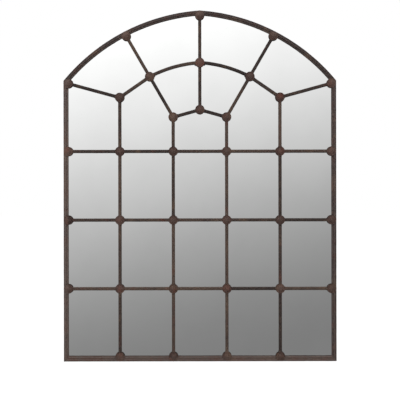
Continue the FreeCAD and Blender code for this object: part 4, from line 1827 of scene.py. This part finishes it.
@dataclass
class Studio:
    """White floor, soft light, and the shaded surroundings that the mirror shows."""

    camera_distance: float = 3.4
    camera_height: float = 0.6505
    view_width: float = 1.616
    sensor: float = 36.0
    roll: float = math.radians(0.1)
    dark_level: float = 0.224
    bright_level: float = 1.534
    dark_slope: float = -0.2074
    bright_slope: float = 0.4522
    side_share: float = 0.256
    side_reach: float = 0.4
    fill_level: float = 0.24
    sky_level: float = 0.46
    sky_span: Spread = (-0.1, 0.9)
    key_power: float = 56.0
    rim_share: float = 0.6
    lamp_size: float = 1.8
    key_spot: Vector = field(default_factory=lambda: Vector((-1.4, -2.6, 3.4)))
    rim_spot: Vector = field(default_factory=lambda: Vector((1.6, 2.6, 2.8)))
    aim: Vector = field(default_factory=lambda: Vector((0, 0, 0.7)))
    white: Colour = (1.0, 1.0, 1.0)
    floor_reach: float = 30.0
    floor_dark: Colour = (0.93, 0.93, 0.93)
    floor_light: Colour = (0.95, 0.95, 0.95)
    floor_glow: float = 1.16
    floor_share: float = 0.75

    def surroundings(self) -> None:
        """Light the room evenly: white to the camera, shaded from above to below in the mirror."""
        world = bpy.data.worlds.new("studio")
        bpy.context.scene.world = world
        world.use_nodes = True
        recipe = Recipe(world.node_tree)
        towards = recipe.out(recipe.node("TexCoord"), "Generated")
        parts = recipe.node("SeparateXYZ", Vector=towards)
        sideways = recipe.math("MAXIMUM", recipe.out(parts, "X"), -self.side_reach)
        sideways = recipe.math("MINIMUM", sideways, self.side_reach)
        climb = recipe.out(parts, "Z") - sideways * self.side_share
        lit = recipe.between(climb, self.dark_slope, self.bright_slope)
        shaded = self.dark_level + (self.bright_level - self.dark_level) * lit
        rays = recipe.node("LightPath")
        seen = recipe.out(rays, "Is Camera Ray")
        mirrored = recipe.out(rays, "Is Glossy Ray")
        other = 1 - recipe.math("MINIMUM", seen + mirrored, 1.0)
        sky = recipe.between(recipe.out(parts, "Z"), *self.sky_span)
        strength = seen + mirrored * shaded + other * (self.fill_level + self.sky_level * sky)
        background = recipe.node("Background", Color=self.white, Strength=strength)
        recipe.node("OutputWorld", Surface=recipe.out(background))

    def floor(self) -> None:
        """Lay a white floor that keeps the mirror's shadow and stays out of its reflection."""
        Workpiece.clear_bench()
        bpy.ops.mesh.primitive_plane_add(size=2 * self.floor_reach, location=(0, 0, 0))
        item = bpy.context.object
        item.name = "floor"
        made = bpy.data.materials.new("white_floor")
        made.use_nodes = True
        recipe = Recipe(made.node_tree)
        clouds = recipe.noise(recipe.place(), 0.4, 2)
        paint = recipe.blend(clouds, self.floor_dark, self.floor_light)
        matt = recipe.out(recipe.node("BsdfDiffuse", Color=paint))
        glow = recipe.out(recipe.node("Emission", Color=self.white, Strength=self.floor_glow))
        seen = recipe.out(recipe.node("LightPath"), "Is Camera Ray") * self.floor_share
        mixed = recipe.node("MixShader")
        recipe.feed(mixed, {0: seen, 1: matt, 2: glow})
        recipe.node("OutputMaterial", Surface=recipe.out(mixed))
        item.data.materials.append(made)
        item.visible_glossy = False

    def lamp(self, name: str, spot: Vector, power: float) -> None:
        """Hang one soft lamp.

        Args:
            name: Name of the lamp.
            spot: Where it hangs.
            power: Its power in watts.
        """
        light = bpy.data.lights.new(name, "AREA")
        light.shape = "SQUARE"
        light.size = self.lamp_size
        light.energy = power
        item = bpy.data.objects.new(name, light)
        item.location = spot
        item.rotation_mode = "QUATERNION"
        item.rotation_quaternion = (self.aim - spot).to_track_quat("-Z", "Y")
        item.visible_camera = False
        item.visible_glossy = False
        bpy.context.scene.collection.objects.link(item)

    def camera(self) -> None:
        """Stand the camera square in front, as far up as the photograph's middle."""
        data = bpy.data.cameras.new("camera")
        data.sensor_width = self.sensor
        data.lens = self.sensor * self.camera_distance / self.view_width
        item = bpy.data.objects.new("camera", data)
        item.location = (0, -self.camera_distance, self.camera_height)
        upright = Matrix.Rotation(QUARTER, 3, "X")
        item.rotation_euler = (upright @ Matrix.Rotation(-self.roll, 3, "Z")).to_euler()
        bpy.context.scene.collection.objects.link(item)
        bpy.context.scene.camera = item

    def build(self) -> None:
        """Set up the whole studio."""
        self.surroundings()
        self.floor()
        self.lamp("key", self.key_spot, self.key_power)
        self.lamp("rim", self.rim_spot, self.key_power * self.rim_share)
        self.camera()
        bpy.context.scene.view_settings.view_transform = "Standard"


def main() -> None:
    """Build the mirror's looks and the studio."""
    logging.basicConfig(level=logging.INFO, format="%(message)s")
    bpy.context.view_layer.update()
    grid = Grid()
    IronFrame(grid).build()
    GlazingBars(grid).build()
    CastBosses(grid).build()
    RetainingTabs(grid).build()
    Hangers(grid).build()
    Sheets().build()
    Studio().build()
    Workpiece.clear_bench()


if __name__ == "__main__":
    main()
